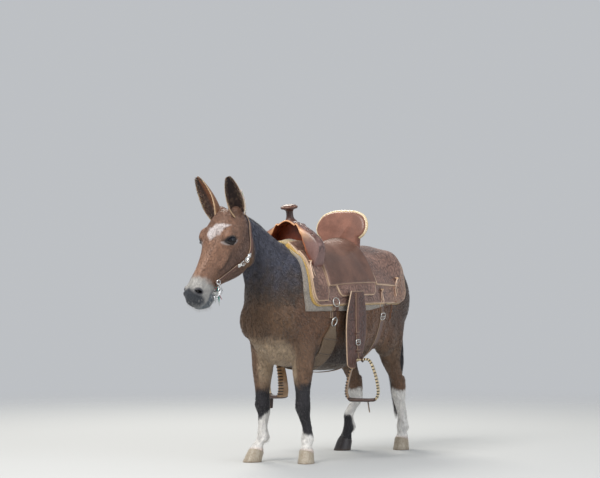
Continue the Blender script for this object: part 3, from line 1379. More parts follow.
def trunk_layer(name, cover, span, ends, thick, lift=0.0010, count=(60, 60), top=None, lean=0.0, settle=4,
                colour=None, round_by=0.8):
    """A sheet laid over the cover, with rounded rims. span is its first and last angle, ends its y ends
    at an angle. thick and lift are numbers or are read at a place, and top, a cover and a height over it,
    is what the upper face at least reaches."""
    a0, a1 = span
    angles = rim_spread(a0, a1, count[0], 0.6)
    grid, radii = [], []
    for angle in angles:
        y0, y1 = ends(angle)
        ys = rim_spread(y0, y1, count[1], 0.0022)
        grid.append(ys)
        radii.append([cover.radius(y, angle) + (lift(y, angle) if callable(lift) else lift) for y in ys])
    radii = np.array(radii)
    base = radii.copy()
    for _ in range(settle):
        mean = radii.copy()
        mean[1:-1, 1:-1] = (radii[:-2, 1:-1] + radii[2:, 1:-1] + radii[1:-1, :-2] + radii[1:-1, 2:]) / 4
        radii = np.maximum(base, mean)
    low, high, place, rims = [], [], [], []
    for i, angle in enumerate(angles):
        turn = math.radians(angle)
        out = Vector((math.sin(turn), 0, math.cos(turn)))
        row_low, row_high = [], []
        for k, y in enumerate(grid[i]):
            r = radii[i][k]
            rim = min(y - grid[i][0], grid[i][-1] - y, abs(math.radians(angle - a0)) * r,
                      abs(math.radians(a1 - angle)) * r)
            up = thick(y, angle) if callable(thick) else thick
            if top:
                up = max(up, top[0].radius(y, angle) + top[1](y, angle) - r)
            reach = min(up * round_by, 0.012)
            round_off = math.sqrt(max(0.0, 1 - (1 - min(1.0, rim / max(reach, 1e-5))) ** 2))
            up_here = up * (0.30 + 0.70 * round_off)
            p = Vector((0, y, TRUNK_AXIS_Z)) + out * r
            row_low.append(p)
            row_high.append(p + out * up_here + ALONG * (lean * max(0.0, up_here - JOCKEY_THICK)))
            place.append((y, math.radians(angle) * 0.19))
            rims.append(rim)
        low.append(row_low)
        high.append(row_high)
    obj = slab_fine(name, low, high)
    set_uv(obj.data, place + place)
    rims = np.array(rims + rims)
    tint_edge(obj.data, rims)
    is_low = np.repeat([1.0, 0.0], len(place))
    spot = points_of(obj.data)
    tint(obj.data, colour(spot, rims, is_low) if callable(colour) else plain(colour, spot))
    return obj


def leather(name, rough, tooled, border=True):
    """Leather: the painted tint, pores, wear at rims, a stitched border and, where tooled, carved leaves."""
    f = Finish(name, rough, specular=0.45, coat=0.25)
    f.shader.inputs["Coat Roughness"].default_value = 0.25
    base = f.tint()
    edge = f.product(f.attribute("edge").outputs["Fac"], EDGE_REACH)
    cloudy = f.noise(18, 4.0)
    colour = f.mix(f.ramp(cloudy, 0.3, 0.7), f.times(base, (0.72, 0.66, 0.62)),
                   f.times(base, (1.15, 1.14, 1.12)))
    pores = f.noise(900, 2.0)
    fine = f.noise(160, 4.0)
    colour = f.mix(f.ramp(fine, 0.35, 0.65, 0.0, 0.30), colour, f.times(colour, (0.62, 0.55, 0.5)))
    if border:
        groove = f.less(1.0, f.ramp(f.math("ABSOLUTE", f.less(edge, 0.0052)), 0.0, 0.0010))
        inner = f.less(1.0, f.ramp(f.math("ABSOLUTE", f.less(edge, 0.0088)), 0.0, 0.0010))
        both = f.math("MAXIMUM", groove, inner)
        colour = f.mix(f.product(both, 0.55), colour, (0.045, 0.018, 0.010))
        f.bump(f.less(1.0, both), 0.7, 0.0010)
        pale = f.less(1.0, f.ramp(edge, 0.0012, 0.0030))
        colour = f.mix(f.product(pale, 0.55), colour, (0.55, 0.40, 0.27))
    if tooled:
        place = f.node("ShaderNodeUVMap", uv_map="lay").outputs["UV"]
        warp = f.node("ShaderNodeTexNoise", {"Vector": place, "Scale": 30.0, "Detail": 1.0}).outputs["Color"]
        bent = f.node("ShaderNodeVectorMath", {0: warp, 1: (0.022, 0.022, 0.0)},
                      operation="MULTIPLY").outputs[0]
        bent = f.node("ShaderNodeVectorMath", {0: place, 1: bent}, operation="ADD").outputs[0]
        stems = f.cells(bent, 34.0, "DISTANCE_TO_EDGE")
        petals = f.math("SINE", f.product(f.cells(bent, 34.0), 15.0))
        stamp = f.cells(place, 330.0)
        vein = f.ramp(petals, -0.6, 0.6)
        ground = f.less(1.0, f.ramp(stems, 0.02, 0.12))
        height = f.math("ADD", f.product(vein, 0.6), f.product(f.less(1.0, ground), 0.6))
        inside = f.ramp(edge, 0.0098, 0.0115)
        dark = f.product(f.less(1.0, f.product(height, 0.83)), inside)
        colour = f.mix(f.product(dark, 0.80 * tooled, True), colour,
                       f.times(colour, (0.20, 0.15, 0.12)))
        f.bump(f.product(height, inside), 0.9 * tooled, 0.0016)
        f.bump(f.product(stamp, f.product(ground, inside)), 0.6, 0.0008)
    f.colour(colour)
    f.bump(pores, 0.28, 0.0003)
    f.bump(fine, 0.25, 0.0006)
    f.rough(f.ramp(cloudy, 0.2, 0.8, rough - 0.08, rough + 0.14))
    return f.done()


def felt_material():
    f = Finish("wool felt", 0.95, specular=0.15, sheen=0.5)
    base = f.tint()
    speck = f.noise(420, 3.0)
    clump = f.noise(90, 4.0)
    colour = f.mix(f.ramp(speck, 0.38, 0.62), f.times(base, (0.52, 0.54, 0.55)),
                   f.times(base, (1.25, 1.24, 1.2)))
    colour = f.mix(f.ramp(clump, 0.45, 0.75, 0.0, 0.5), colour, f.times(base, (0.66, 0.62, 0.55)))
    f.colour(colour)
    f.bump(speck, 0.7, 0.0012)
    f.bump(clump, 0.5, 0.0020)
    return f.done()


def fleece_material():
    f = Finish("fleece", 0.95, specular=0.1, sheen=0.6)
    base = f.tint()
    curl = f.noise(300, 4.0)
    f.colour(f.mix(f.ramp(curl, 0.3, 0.7), f.times(base, (0.6, 0.55, 0.45)), base))
    f.bump(curl, 1.0, 0.0030)
    return f.done()


def ribbon(name, points, ups, width, thick, colour):
    """A strap along the points. ups are its faces' outward directions; width may run along a list."""
    count = len(points)
    shape = ((-1.0, 0.0), (-0.94, 0.7), (-0.80, 1.0), (-0.4, 1.0), (0.0, 1.0), (0.4, 1.0), (0.80, 1.0),
             (0.94, 0.7), (1.0, 0.0), (0.94, -0.7), (0.80, -1.0), (0.0, -1.0), (-0.80, -1.0), (-0.94, -0.7))
    rings, place, rims = [], [], []
    run = 0.0
    for i, p in enumerate(points):
        ahead = (points[min(i + 1, count - 1)] - points[max(i - 1, 0)]).normalized()
        up = ups[i] if isinstance(ups, list) else ups
        side = ahead.cross(up).normalized()
        up = side.cross(ahead).normalized()
        w = width[i] if isinstance(width, list) else width
        if i:
            run += (p - points[i - 1]).length
        rings.append([p + side * (w / 2 * a) + up * (thick / 2 * b) for a, b in shape])
        place += [(run, a * w / 2) for a, b in shape]
        rims += [(1 - abs(a)) * w / 2 + 0.0006 for a, b in shape]
    obj = loft(name, rings)
    set_uv(obj.data, place)
    tint_edge(obj.data, np.array(rims))
    tint(obj.data, plain(colour, place))
    return obj


def plain_tint(obj, colour):
    """Gives a helper the attributes that the leathers read."""
    co = points_of(obj.data)
    tint(obj.data, plain((0.2, 0.2, 0.2), co), "edge")
    tint(obj.data, plain(colour, co))
    set_uv(obj.data, co[:, 1:])
    return obj


SADDLE = srgb(142, 110, 98)
SADDLE_DARK = srgb(104, 74, 62)
SADDLE_PALE = srgb(208, 180, 152)
ORANGE = srgb(198, 120, 66)
GULLET = srgb(128, 56, 24)
STRAP = srgb(100, 70, 58)
RAWHIDE = srgb(226, 210, 174)
HANGER, LACE = srgb(74, 50, 42), srgb(22, 18, 18)
BRIGHT = (0.6, 0.6, 0.6)     # the tint of metal pieces, which their materials don't read


def curve_points(rows, steps):
    return [Vector(p) for p in smooth_rows([tuple(p) for p in rows], steps)]


def shaded(main, rim, reach):
    """Colours a sheet with a paler or darker rim."""
    def paint(spot, rims, is_low):
        base = plain(main, spot)
        return mixed(base, rim, 1 - smoothstep(rims, reach * 0.4, reach))
    return paint


def pad_colour(spot, rims, is_low):
    grey = plain(srgb(152, 143, 134), spot)
    warm = smoothstep(spot[:, 2], 0.745, 0.79) * smoothstep(-spot[:, 1], 0.24, 0.30)
    grey = mixed(grey, srgb(196, 170, 110), warm * 0.75)
    dust = lattice_noise(spot, 40, 9)
    return mixed(grey, srgb(120, 112, 100), smoothstep(dust, 0.5, 0.8) * 0.4)


FORK_FOOT = 37.0         # a little above the solid's own


def fork_colour(spot, rims, is_low):
    base = plain(srgb(124, 96, 92), spot)
    front = smoothstep(-spot[:, 1], -FORK_FRONT - 0.012, -FORK_FRONT + 0.004)
    high = smoothstep(spot[:, 2], 0.80, 0.86)
    base = mixed(base, ORANGE, front * smoothstep(spot[:, 2], 0.825, 0.855))
    base = mixed(base, srgb(236, 196, 150), front * high * (1 - smoothstep(rims, 0.004, 0.012)) * 0.7)
    under = mixed(plain(GULLET, spot), ORANGE, front * smoothstep(spot[:, 2], 0.750, 0.790))
    return mixed(base, under, is_low)


def build_saddle(skin_tree):
    mats = {"tooled": leather("tooled leather", 0.38, 0.9), "smooth": leather("saddle leather", 0.36, 0.0),
            "strap": leather("strap leather", 0.40, 0.0), "fork": leather("fork leather", 0.40, 0.95, False),
            "seat": leather("seat leather", 0.50, 0.0)}
    cover = Cover(skin_tree)
    only_skin = Cover(skin_tree)
    pad_front = ((0, 0.030), (30, 0.004), (60, 0.0), (92, 0.010))
    pad_slope = ((80, 0.0), (PAD_LOW, 0.30))
    pad = trunk_layer("pad", cover, (-PAD_LOW, PAD_LOW),
                      lambda a: (PAD_FRONT + eased(abs(a), pad_front), PAD_BACK - blend(abs(a), pad_slope)),
                      PAD_THICK, count=(110, 84), colour=pad_colour, settle=8)
    cover.add(pad)
    finished(pad, "felt_pad", felt_material(), ("saddle_pad",), 0)
    fleece = fleece_material()
    for side, sign in SIDES:
        lining = trunk_layer("lining", cover, (sign * SKIRT_TOP, sign * (SKIRT_LOW + 1.0)),
                             lambda a: rounded(abs(a), SKIRT_LOW + 1.0, SKIRT_FRONT - 0.012,
                                               SKIRT_BACK + 0.004, 0.05, 0.07),
                             0.0032, 0.0004, (50, 70),
                             colour=srgb(206, 168, 88))
        skirt_cover = Cover(*cover.trees).add(lining)
        finished(lining, f"fleece_{side}", fleece, (), 0)
        skirt = trunk_layer("skirt", skirt_cover, (sign * SKIRT_TOP, sign * SKIRT_LOW),
                            lambda a: rounded(abs(a), SKIRT_LOW, SKIRT_FRONT, SKIRT_BACK, 0.05, 0.07),
                            0.0034, 0.0003, (50, 70), colour=skirt_colour)
        cover.add(skirt)
        finished(skirt, f"skirt_{side}", mats["tooled"], (f"saddle_skirt_{side}",))
    for side, sign in SIDES:
        for name, node_name, span, ends, count in (
                ("jockey_front", "front_jockey", (19, 78), front_jockey_ends, (46, 24)),
                ("jockey_rear", "rear_jockey", (3, 62),
                 lambda a: rounded(abs(a), 62, CANTLE_BACK + 0.007 if abs(a) < 24 else CANTLE_FRONT + 0.002,
                                   0.315, 0.0, 0.085), (44, 44)),
                ("jockey_seat", "seat_jockey", (SEAT_LOW - 1.5, 74),
                 lambda a: rounded(abs(a), 74, -0.180, 0.084, 0.03, 0.04), (18, 44))):
            obj = trunk_layer(name, cover, (sign * span[0], sign * span[1]), ends, 0.0042, 0.0003, count,
                              colour=shaded(SADDLE, SADDLE_PALE, 0.005))
            finished(obj, f"{name}_{side}", mats["tooled"], (f"{node_name}_{side}",))
    for piece in PIECES:
        if piece.name.startswith("jockey"):
            twin = piece.data.copy()
            twin.transform(Matrix.Translation(-SHIFT))
            bm = bmesh.new()
            bm.from_mesh(twin)
            cover.trees.append(BVHTree.FromBMesh(bm))
            bm.free()
            bpy.data.meshes.remove(twin)
    gullet = ((0, 0.066), (8, 0.060), (13, 0.042), (18, 0.021), (22, 0.008), (26, 0.0006), (90, 0.0006))
    swell = ((0, 0.080), (12, 0.086), (20, 0.095), (28, 0.100), (33, 0.088), (FORK_FOOT, 0.054))
    middle = (FORK_FRONT + FORK_BACK) / 2
    low_cover = Cover(*cover.trees[:4])
    fork = trunk_layer("fork", low_cover, (-FORK_FOOT, FORK_FOOT), lambda a: (FORK_FRONT, FORK_BACK),
                       JOCKEY_THICK, lambda y, a: eased(abs(a), gullet), (110, 26),
                       (only_skin, lambda y, a: curved(abs(a), swell) * (1 - 180 * (y - middle) ** 2)),
                       -0.10, 0, fork_colour, 0.5)
    finished(fork, "fork_swell", mats["fork"], ("saddle_fork",), 60)
    seat_rise = ((-0.222, 0.052), (-0.150, 0.038), (-0.060, 0.034), (0.020, 0.040), (0.086, 0.060))
    seat = trunk_layer("seat", low_cover, (-SEAT_LOW, SEAT_LOW),
                       lambda a: (FORK_BACK + 0.001, CANTLE_FRONT - 0.0015),
                       0.0050, 0.0006, (60, 60),
                       (only_skin, lambda y, a: TREE_LIFT + 0.006
                        + (eased(y, seat_rise) - 0.0275) * math.cos(math.radians(a * 1.5)) ** 2), 0.0, 2,
                       shaded(SADDLE_DARK, SADDLE, 0.010))
    finished(seat, "seat_leather", mats["seat"], ("saddle_seat",))
    build_cantle(mats, low_cover)
    build_horn(mats, fork)
    wall = [[], [], [], []]
    for k in range(45):
        angle = 29.0 * (k / 22 - 1)
        high = eased(abs(angle), gullet) + 0.0035
        for i, (y, lift) in enumerate(((-0.2252, 0.0), (-0.2252, high), (-0.2232, 0.0), (-0.2232, high))):
            wall[i].append(radial_point(low_cover, y, angle, lift)[0])
    rows = [[a.lerp(b, t / 8) for a, b in zip(wall[0], wall[1])] for t in range(9)]
    back = [[a.lerp(b, t / 8) for a, b in zip(wall[2], wall[3])] for t in range(9)]
    lining = plain_tint(slab_fine("gullet", rows, back), GULLET)
    finished(lining, "fork_lining", mats["strap"], ())
    return mats, cover


def front_jockey_ends(angle):
    """Narrow in front of the fork, and as wide as the fork below its foot."""
    a = abs(angle)
    start = rounded(a, 78, -0.314, 0.0, 0.026, 0.02)[0]
    if a < FORK_FOOT:
        return start, FORK_FRONT - 0.0015
    return start, FORK_BACK - 0.001 - 0.012 * smooth1(a, 62, 78)


def curved(value, stops):
    """A value read off a curve through the stops."""
    places = [s[0] for s in stops]
    i = max(0, min(len(stops) - 2, sum(p <= value for p in places) - 1))
    a, b = stops[max(i - 1, 0)], stops[i]
    c, d = stops[i + 1], stops[min(i + 2, len(stops) - 1)]
    t = min(1.0, max(0.0, (value - b[0]) / (c[0] - b[0])))
    return 0.5 * (2 * b[1] + (c[1] - a[1]) * t + (2 * a[1] - 5 * b[1] + 4 * c[1] - d[1]) * t * t
                  + (3 * b[1] - a[1] - 3 * c[1] + d[1]) * t ** 3)


def skirt_colour(spot, rims, is_low):
    base = plain(srgb(140, 112, 102), spot)
    rear = smoothstep(spot[:, 1], 0.12, 0.26)
    base = mixed(base, srgb(182, 140, 112), rear * 0.7)
    return mixed(base, SADDLE_PALE, (1 - smoothstep(rims, 0.002, 0.005)) * 0.8)


def build_cantle(mats, over):
    """The raised back of the seat, with a pale bound rim."""
    half = ((0.084, 0.829), (0.100, 0.842), (0.110, 0.864), (0.105, 0.890), (0.088, 0.912), (0.060, 0.924),
            (0.028, 0.929))
    outline = list(half) + [(-x, z) for x, z in half[::-1]]
    arc = [tuple(p) for p in smooth_rows(outline, 6)]
    foot = [0.084 - 0.168 * k / 40 for k in range(1, 40)][::-1]
    foot_z, middle = half[0][1], 0.860

    def stands_at(x):
        return max(over.first(Vector((x, y, 1.2)), -UP, 1.0).z
                   for y in spread(CANTLE_FRONT, CANTLE_BACK, 4)) - 0.001

    rings = []
    stops = ((0.000, 0.86), (0.001, 0.93), (0.004, 0.975), (0.010, 1.0), (0.018, 1.0), (0.024, 0.985),
             (0.0275, 0.95), (0.028, 0.90))
    for depth, size in stops:
        y = CANTLE_FRONT + depth
        ring = []
        for x, z in arc:
            up = max(middle + (z - middle) * size, foot_z - 0.004)
            ring.append(Vector((x * size, y + CANTLE_LEAN * (up - foot_z), up)))
        ring += [Vector((x * size, y, stands_at(x * size))) for x in foot]
        rings.append(ring)
    obj = plain_tint(loft("cantle", rings), SADDLE)
    spot = points_of(obj.data)
    colour = plain(srgb(136, 92, 76), spot)
    colour = mixed(colour, srgb(124, 84, 74), smoothstep(spot[:, 1] - CANTLE_LEAN * (spot[:, 2] - foot_z),
                                                         0.10, 0.112))
    tint(obj.data, colour)
    finished(obj, "cantle_board", mats["seat"], ("saddle_cantle",), 50)
    line = [Vector((x * 0.985, CANTLE_FRONT + 0.013 + CANTLE_LEAN * (middle + (z - middle) * 0.985 - foot_z),
                    middle + (z - middle) * 0.985)) for x, z in arc]
    rim = plain_tint(tube_mesh("binding", line, 0.0068, 14), srgb(232, 216, 186))
    finished(rim, "cantle_binding", rawhide_material(), (), 50)


MADE = {}


def rawhide_material():
    if "rawhide" not in MADE:
        f = Finish("rawhide", 0.40, specular=0.45, coat=0.3)
        base = f.tint()
        mottle = f.noise(70, 4.0)
        fibre = f.noise(500, 3.0, (1, 1, 0.3))
        colour = f.mix(f.ramp(mottle, 0.35, 0.7), f.times(base, (0.78, 0.70, 0.56)), base)
        colour = f.mix(f.ramp(fibre, 0.5, 0.75, 0.0, 0.4), colour, (0.34, 0.26, 0.17))
        f.colour(colour)
        f.bump(mottle, 0.4, 0.0010)
        f.bump(fibre, 0.3, 0.0005)
        MADE["rawhide"] = f.done()
    return MADE["rawhide"]


def metal_material(name="nickel silver", colour=(0.72, 0.71, 0.68), rough=0.22):
    if name not in MADE:
        f = Finish(name, rough, 1.0, coat=0.1)
        tarnish = f.noise(130, 4.0)
        f.colour(f.mix(f.ramp(tarnish, 0.45, 0.8, 0.0, 0.6), colour, tuple(c * 0.45 for c in colour)))
        f.rough(f.ramp(tarnish, 0.3, 0.8, rough, rough + 0.2))
        f.bump(f.noise(700, 2.0), 0.12, 0.0003)
        MADE[name] = f.done()
    return MADE[name]


def build_horn(mats, fork):
    tree = tree_of(fork)
    start = Vector((0, -0.252, 1.3)) + SHIFT
    start.z = 1.3
    hit = tree.ray_cast(start, -UP, 1.0)[0] - SHIFT
    base = Vector((0, -0.252, hit.z - 0.006))
    lean = Vector((0, -0.16, 1)).normalized()
    rows = ((0.000, 0.0250), (0.004, 0.0215), (0.010, 0.0160), (0.018, 0.0135), (0.030, 0.0128),
            (0.040, 0.0145), (0.0455, 0.0215), (0.0475, 0.0290), (0.0500, 0.0315), (0.0535, 0.0320),
            (0.0565, 0.0300), (0.0585, 0.0262), (0.0605, 0.0240), (0.0625, 0.0170), (0.0632, 0.0060))
    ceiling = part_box("saddle_horn")[1].z - SHIFT.z
    ahead = lean.cross(ACROSS)
    grow = min(1.0, (ceiling - base.z - 0.003) / 0.0632)
    rings = [section(base + lean * up * grow, ACROSS * r, ahead * r, -ahead * r, 40)
             for up, r in smooth_rows(rows, 3)]
    obj = plain_tint(loft("horn", rings), SADDLE_DARK)
    spot = points_of(obj.data)
    rel = (spot - np.array(base)) @ np.array(lean) / grow
    colour = plain(srgb(84, 53, 43), spot)
    colour = mixed(colour, srgb(58, 38, 34), smoothstep(rel, 0.012, 0.02)
                   * (1 - smoothstep(rel, 0.038, 0.046)) * 0.6)
    colour = mixed(colour, srgb(150, 108, 84), np.exp(-((rel - 0.0565) / 0.0012) ** 2) * 0.6)
    tint(obj.data, colour)
    finished(obj, "horn_cap", mats["seat"], ("saddle_horn",), 60)


def strap_on_trunk(name, cover, y, half, start, end, thick, colour, lift=0.0008, count=40):
    """A strap round the trunk between two angles."""
    return trunk_layer(name, cover, (start, end), lambda a: (y - half, y + half), thick, lift, (count, 8),
                       None, 0.0, 2,
                       shaded(colour, tuple(c * 0.55 for c in colour), 0.002))


def turns(count):
    """Angles all the way round."""
    return [math.tau * k / count for k in range(count)]


def squarish(centre, a, b, count, power, start=0.0):
    """A ring between circle and square, with a and b as its half sizes."""
    ring = []
    for k in range(count):
        turn = math.tau * (k + start) / count
        c, s = math.cos(turn), math.sin(turn)
        ring.append(centre + a * math.copysign(abs(c) ** power, c) + b * math.copysign(abs(s) ** power, s))
    return ring


def circle(centre, a, b, count):
    """A ring with a and b as its half sizes."""
    return [centre + a * math.cos(t) + b * math.sin(t) for t in turns(count)]


def small_box(name, centre, axes, half, colour, bevel=0.3):
    """A little rounded block. axes are three directions and half its half sizes."""
    rings = [squarish(centre + axes[2] * (half[2] * depth), axes[0] * (half[0] * size),
                      axes[1] * (half[1] * size), 16, bevel, 0.5)
             for depth, size in ((-1, 0.80), (-0.75, 0.97), (-0.4, 1.0), (0.4, 1.0), (0.75, 0.97), (1, 0.80))]
    return plain_tint(loft(name, rings), colour)


def concho(name, centre, out, radius, colour):
    """A domed round button with a scalloped rim."""
    n = out.normalized()
    a = n.orthogonal().normalized()
    b = n.cross(a)
    rings = []
    for r, up in ((1.0, 0.0), (1.0, 0.10), (0.90, 0.16), (0.80, 0.14), (0.70, 0.20), (0.45, 0.32),
                  (0.15, 0.38)):
        ring = []
        for turn in turns(36):
            wave = 1 + 0.05 * math.cos(turn * 12) * (r > 0.85)
            ring.append(centre + (a * math.cos(turn) + b * math.sin(turn)) * (radius * r * wave)
                        + n * (radius * up))
        rings.append(ring)
    return plain_tint(loft(name, rings), colour)


def buckle(name, centre, along, out, wide, long, wire):
    """A rounded square frame buckle with a tongue."""
    side = along.cross(out).normalized()
    line = squarish(centre, along * (long / 2), side * (wide / 2), 32, 0.5)
    bar = [centre - side * wide / 2, centre, centre + side * wide / 2]
    tongue = [centre + out * wire * 0.5, centre + along * long * 0.3 + out * wire,
              centre + along * long * 0.55 + out * wire * 0.6]
    parts = [tube_mesh("frame", line, wire, 8, True), tube_mesh("bar", bar, wire * 0.8, 8),
             tube_mesh("tongue", tongue, wire * 0.6, 6)]
    return joined(name, [plain_tint(part, BRIGHT) for part in parts])


def string(points, radius, colour, flat=0.5):
    obj = tube_mesh("string", curve_points(points, 5), radius, 8, flat=flat)
    return plain_tint(obj, colour)


def radial_point(cover, y, angle, lift):
    turn = math.radians(angle)
    out = Vector((math.sin(turn), 0, math.cos(turn)))
    return Vector((0, y, TRUNK_AXIS_Z)) + out * (cover.radius(y, angle) + lift), out


def rosette(name, cover, y, angle, size, drop):
    """A leather button with two pale strings knotted through it."""
    centre, out = radial_point(cover, y, angle, 0.0006)
    parts = [concho("button", centre, out, size, SADDLE_DARK)]
    sign = math.copysign(1, angle)
    down = (UP * -1 - out * (UP * -1).dot(out)).normalized()
    for shift, length in ((-0.0035, drop), (0.0030, drop * 0.82)):
        route = [centre + out * size * 0.42 + ALONG * shift * 0.2,
                 centre + out * (size * 0.5) + ALONG * shift + down * 0.004]
        for k in range(1, 6):
            t = k / 5
            route.append(radial_point(cover, y + shift * (1 + 2 * t) + 0.004 * math.sin(3 * t + shift * 900),
                                      angle + sign * math.degrees(length * t / 0.21), 0.0022)[0])
        parts.append(string(route, 0.0025, srgb(222, 194, 172)))
    loop = [centre + out * (size * 0.5 + 0.0015) + ALONG * (0.009 * math.cos(t))
            + down * (0.004 * math.sin(t) * math.cos(t))
            for t in turns(24)]
    parts.append(plain_tint(tube_mesh("bow", loop, 0.0016, 6, closed=True), srgb(220, 186, 150)))
    return joined(name, parts)


FENDER_ROWS = ((0.628, 0.044), (0.590, 0.056), (0.545, 0.068), (0.500, 0.071), (0.462, 0.069), (0.425, 0.064),
               (0.392, 0.058))


def build_fenders(mats):
    for side, sign in SIDES:
        low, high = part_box(f"fender_{side}")
        edge = (low.x if sign > 0 else high.x) - SHIFT.x
        rows = smooth_rows(FENDER_ROWS, 8)
        inner, outer, place, rims = [], [], [], []
        top_z, low_z = rows[0][0], rows[-1][0]
        columns = rim_spread(-1.0, 1.0, 26, 0.05)
        for z, half in rows:
            centre = FENDER_Y + (z - 0.392) * 0.06
            row_in, row_out = [], []
            for share in columns:
                corner = (1 - math.sqrt(max(0.0, 1 - abs(share) ** 4))) * 0.020
                reach = 0.050 * smooth1(-share, -0.25, 0.15)
                level = z + (corner - reach) * (1 - smooth1(z, low_z, low_z + 0.075))
                y = centre + half * share
                rim = min((1 - abs(share)) * half, z - low_z + 0.001, top_z - z + 0.001)
                swell = 0.0009 * math.sin(z * 60) * (1 - share * share)
                up = 0.0036 * (0.4 + 0.6 * math.sqrt(max(0.0, 1 - (1 - min(1, rim / 0.003)) ** 2)))
                x = edge + sign * (0.0003 + abs(swell))
                row_in.append(Vector((x, y, level)))
                row_out.append(Vector((x + sign * up, y, level)))
                place.append((y, z))
                rims.append(rim)
            inner.append(row_in)
            outer.append(row_out)
        obj = slab_fine("fender", inner, outer)
        set_uv(obj.data, place + place)
        rims = np.array(rims + rims)
        tint_edge(obj.data, rims)
        spot = points_of(obj.data)
        colour = plain(srgb(98, 66, 58), spot)
        colour = mixed(colour, SADDLE_PALE, (1 - smoothstep(rims, 0.001, 0.003)) * 0.8)
        tint(obj.data, colour)
        finished(obj, f"fender_{side}_leather", mats["tooled"], (f"fender_{side}",))
        build_fender_straps(side, sign, edge, mats)


def build_fender_straps(side, sign, edge, mats):
    """The keeper across the fender, and the leather that runs down it to the stirrup."""
    face = edge + sign * 0.0042
    out = Vector((sign, 0, 0))
    parts = []
    rows = ((0.622, 0.0), (0.540, 0.0), (0.460, 0.004), (0.400, 0.014), (0.384, 0.018))
    line = curve_points([Vector((face + sign * 0.0016, FENDER_Y + 0.006 + dy, z)) for z, dy in rows], 8)
    parts.append(ribbon("leather", line, out, 0.020, 0.0030, srgb(104, 66, 50)))
    for z in (0.470, 0.404):
        half = 0.0125
        centre = FENDER_Y + 0.008 + (0.006 if z < 0.43 else 0)
        line = [Vector((face + sign * 0.0045 * math.sqrt(max(0, 1 - (k / 8 - 1) ** 8)),
                        centre + half * (k / 8 - 1), z))
                for k in range(17)]
        parts.append(ribbon("keeper", line, [out] * len(line), 0.012, 0.0022, srgb(86, 54, 42)))
    finished(joined("straps", parts), f"fender_{side}_straps", mats["strap"], ())
    metal = [buckle("buckle", Vector((face + sign * 0.0048, FENDER_Y + 0.0085, 0.438)), UP, out, 0.028, 0.020,
                    0.0016)]
    finished(joined("buckles", metal), f"fender_{side}_buckle", metal_material(), ())


STIRRUP_HALF = ((0.000, STIRRUP_TOP_Z), (0.022, STIRRUP_TOP_Z), (0.036, 0.352), (0.050, 0.312),
                (0.058, 0.272), (0.059, 0.246), (0.050, 0.226), (0.028, STIRRUP_LOW_Z),
                (0.000, STIRRUP_LOW_Z))


def stirrup_frame(side, sign):
    low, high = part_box(f"fender_{side}")
    out_x = abs((low.x if sign > 0 else high.x) - SHIFT.x)
    middle = Vector((sign * (out_x + 0.010), STIRRUP_Y, 0))
    spin = Matrix.Rotation(math.radians(STIRRUP_TURN) * sign, 3, "Z")
    outline = list(STIRRUP_HALF) + [(-x, z) for x, z in STIRRUP_HALF[-2:0:-1]]
    closed = outline[-2:] + outline + outline[:3]
    fine = smooth_rows(closed, 7)[14:-14]
    points = [middle + spin @ Vector((x, 0, 0)) + UP * z for x, z in fine[:-7]]
    return points, spin, out_x


def bow_breadth(z):
    """Half the bow's breadth: widest at the tread."""
    return 0.0165 + 0.008 * (1 - (z - STIRRUP_LOW_Z) / (STIRRUP_TOP_Z - STIRRUP_LOW_Z))


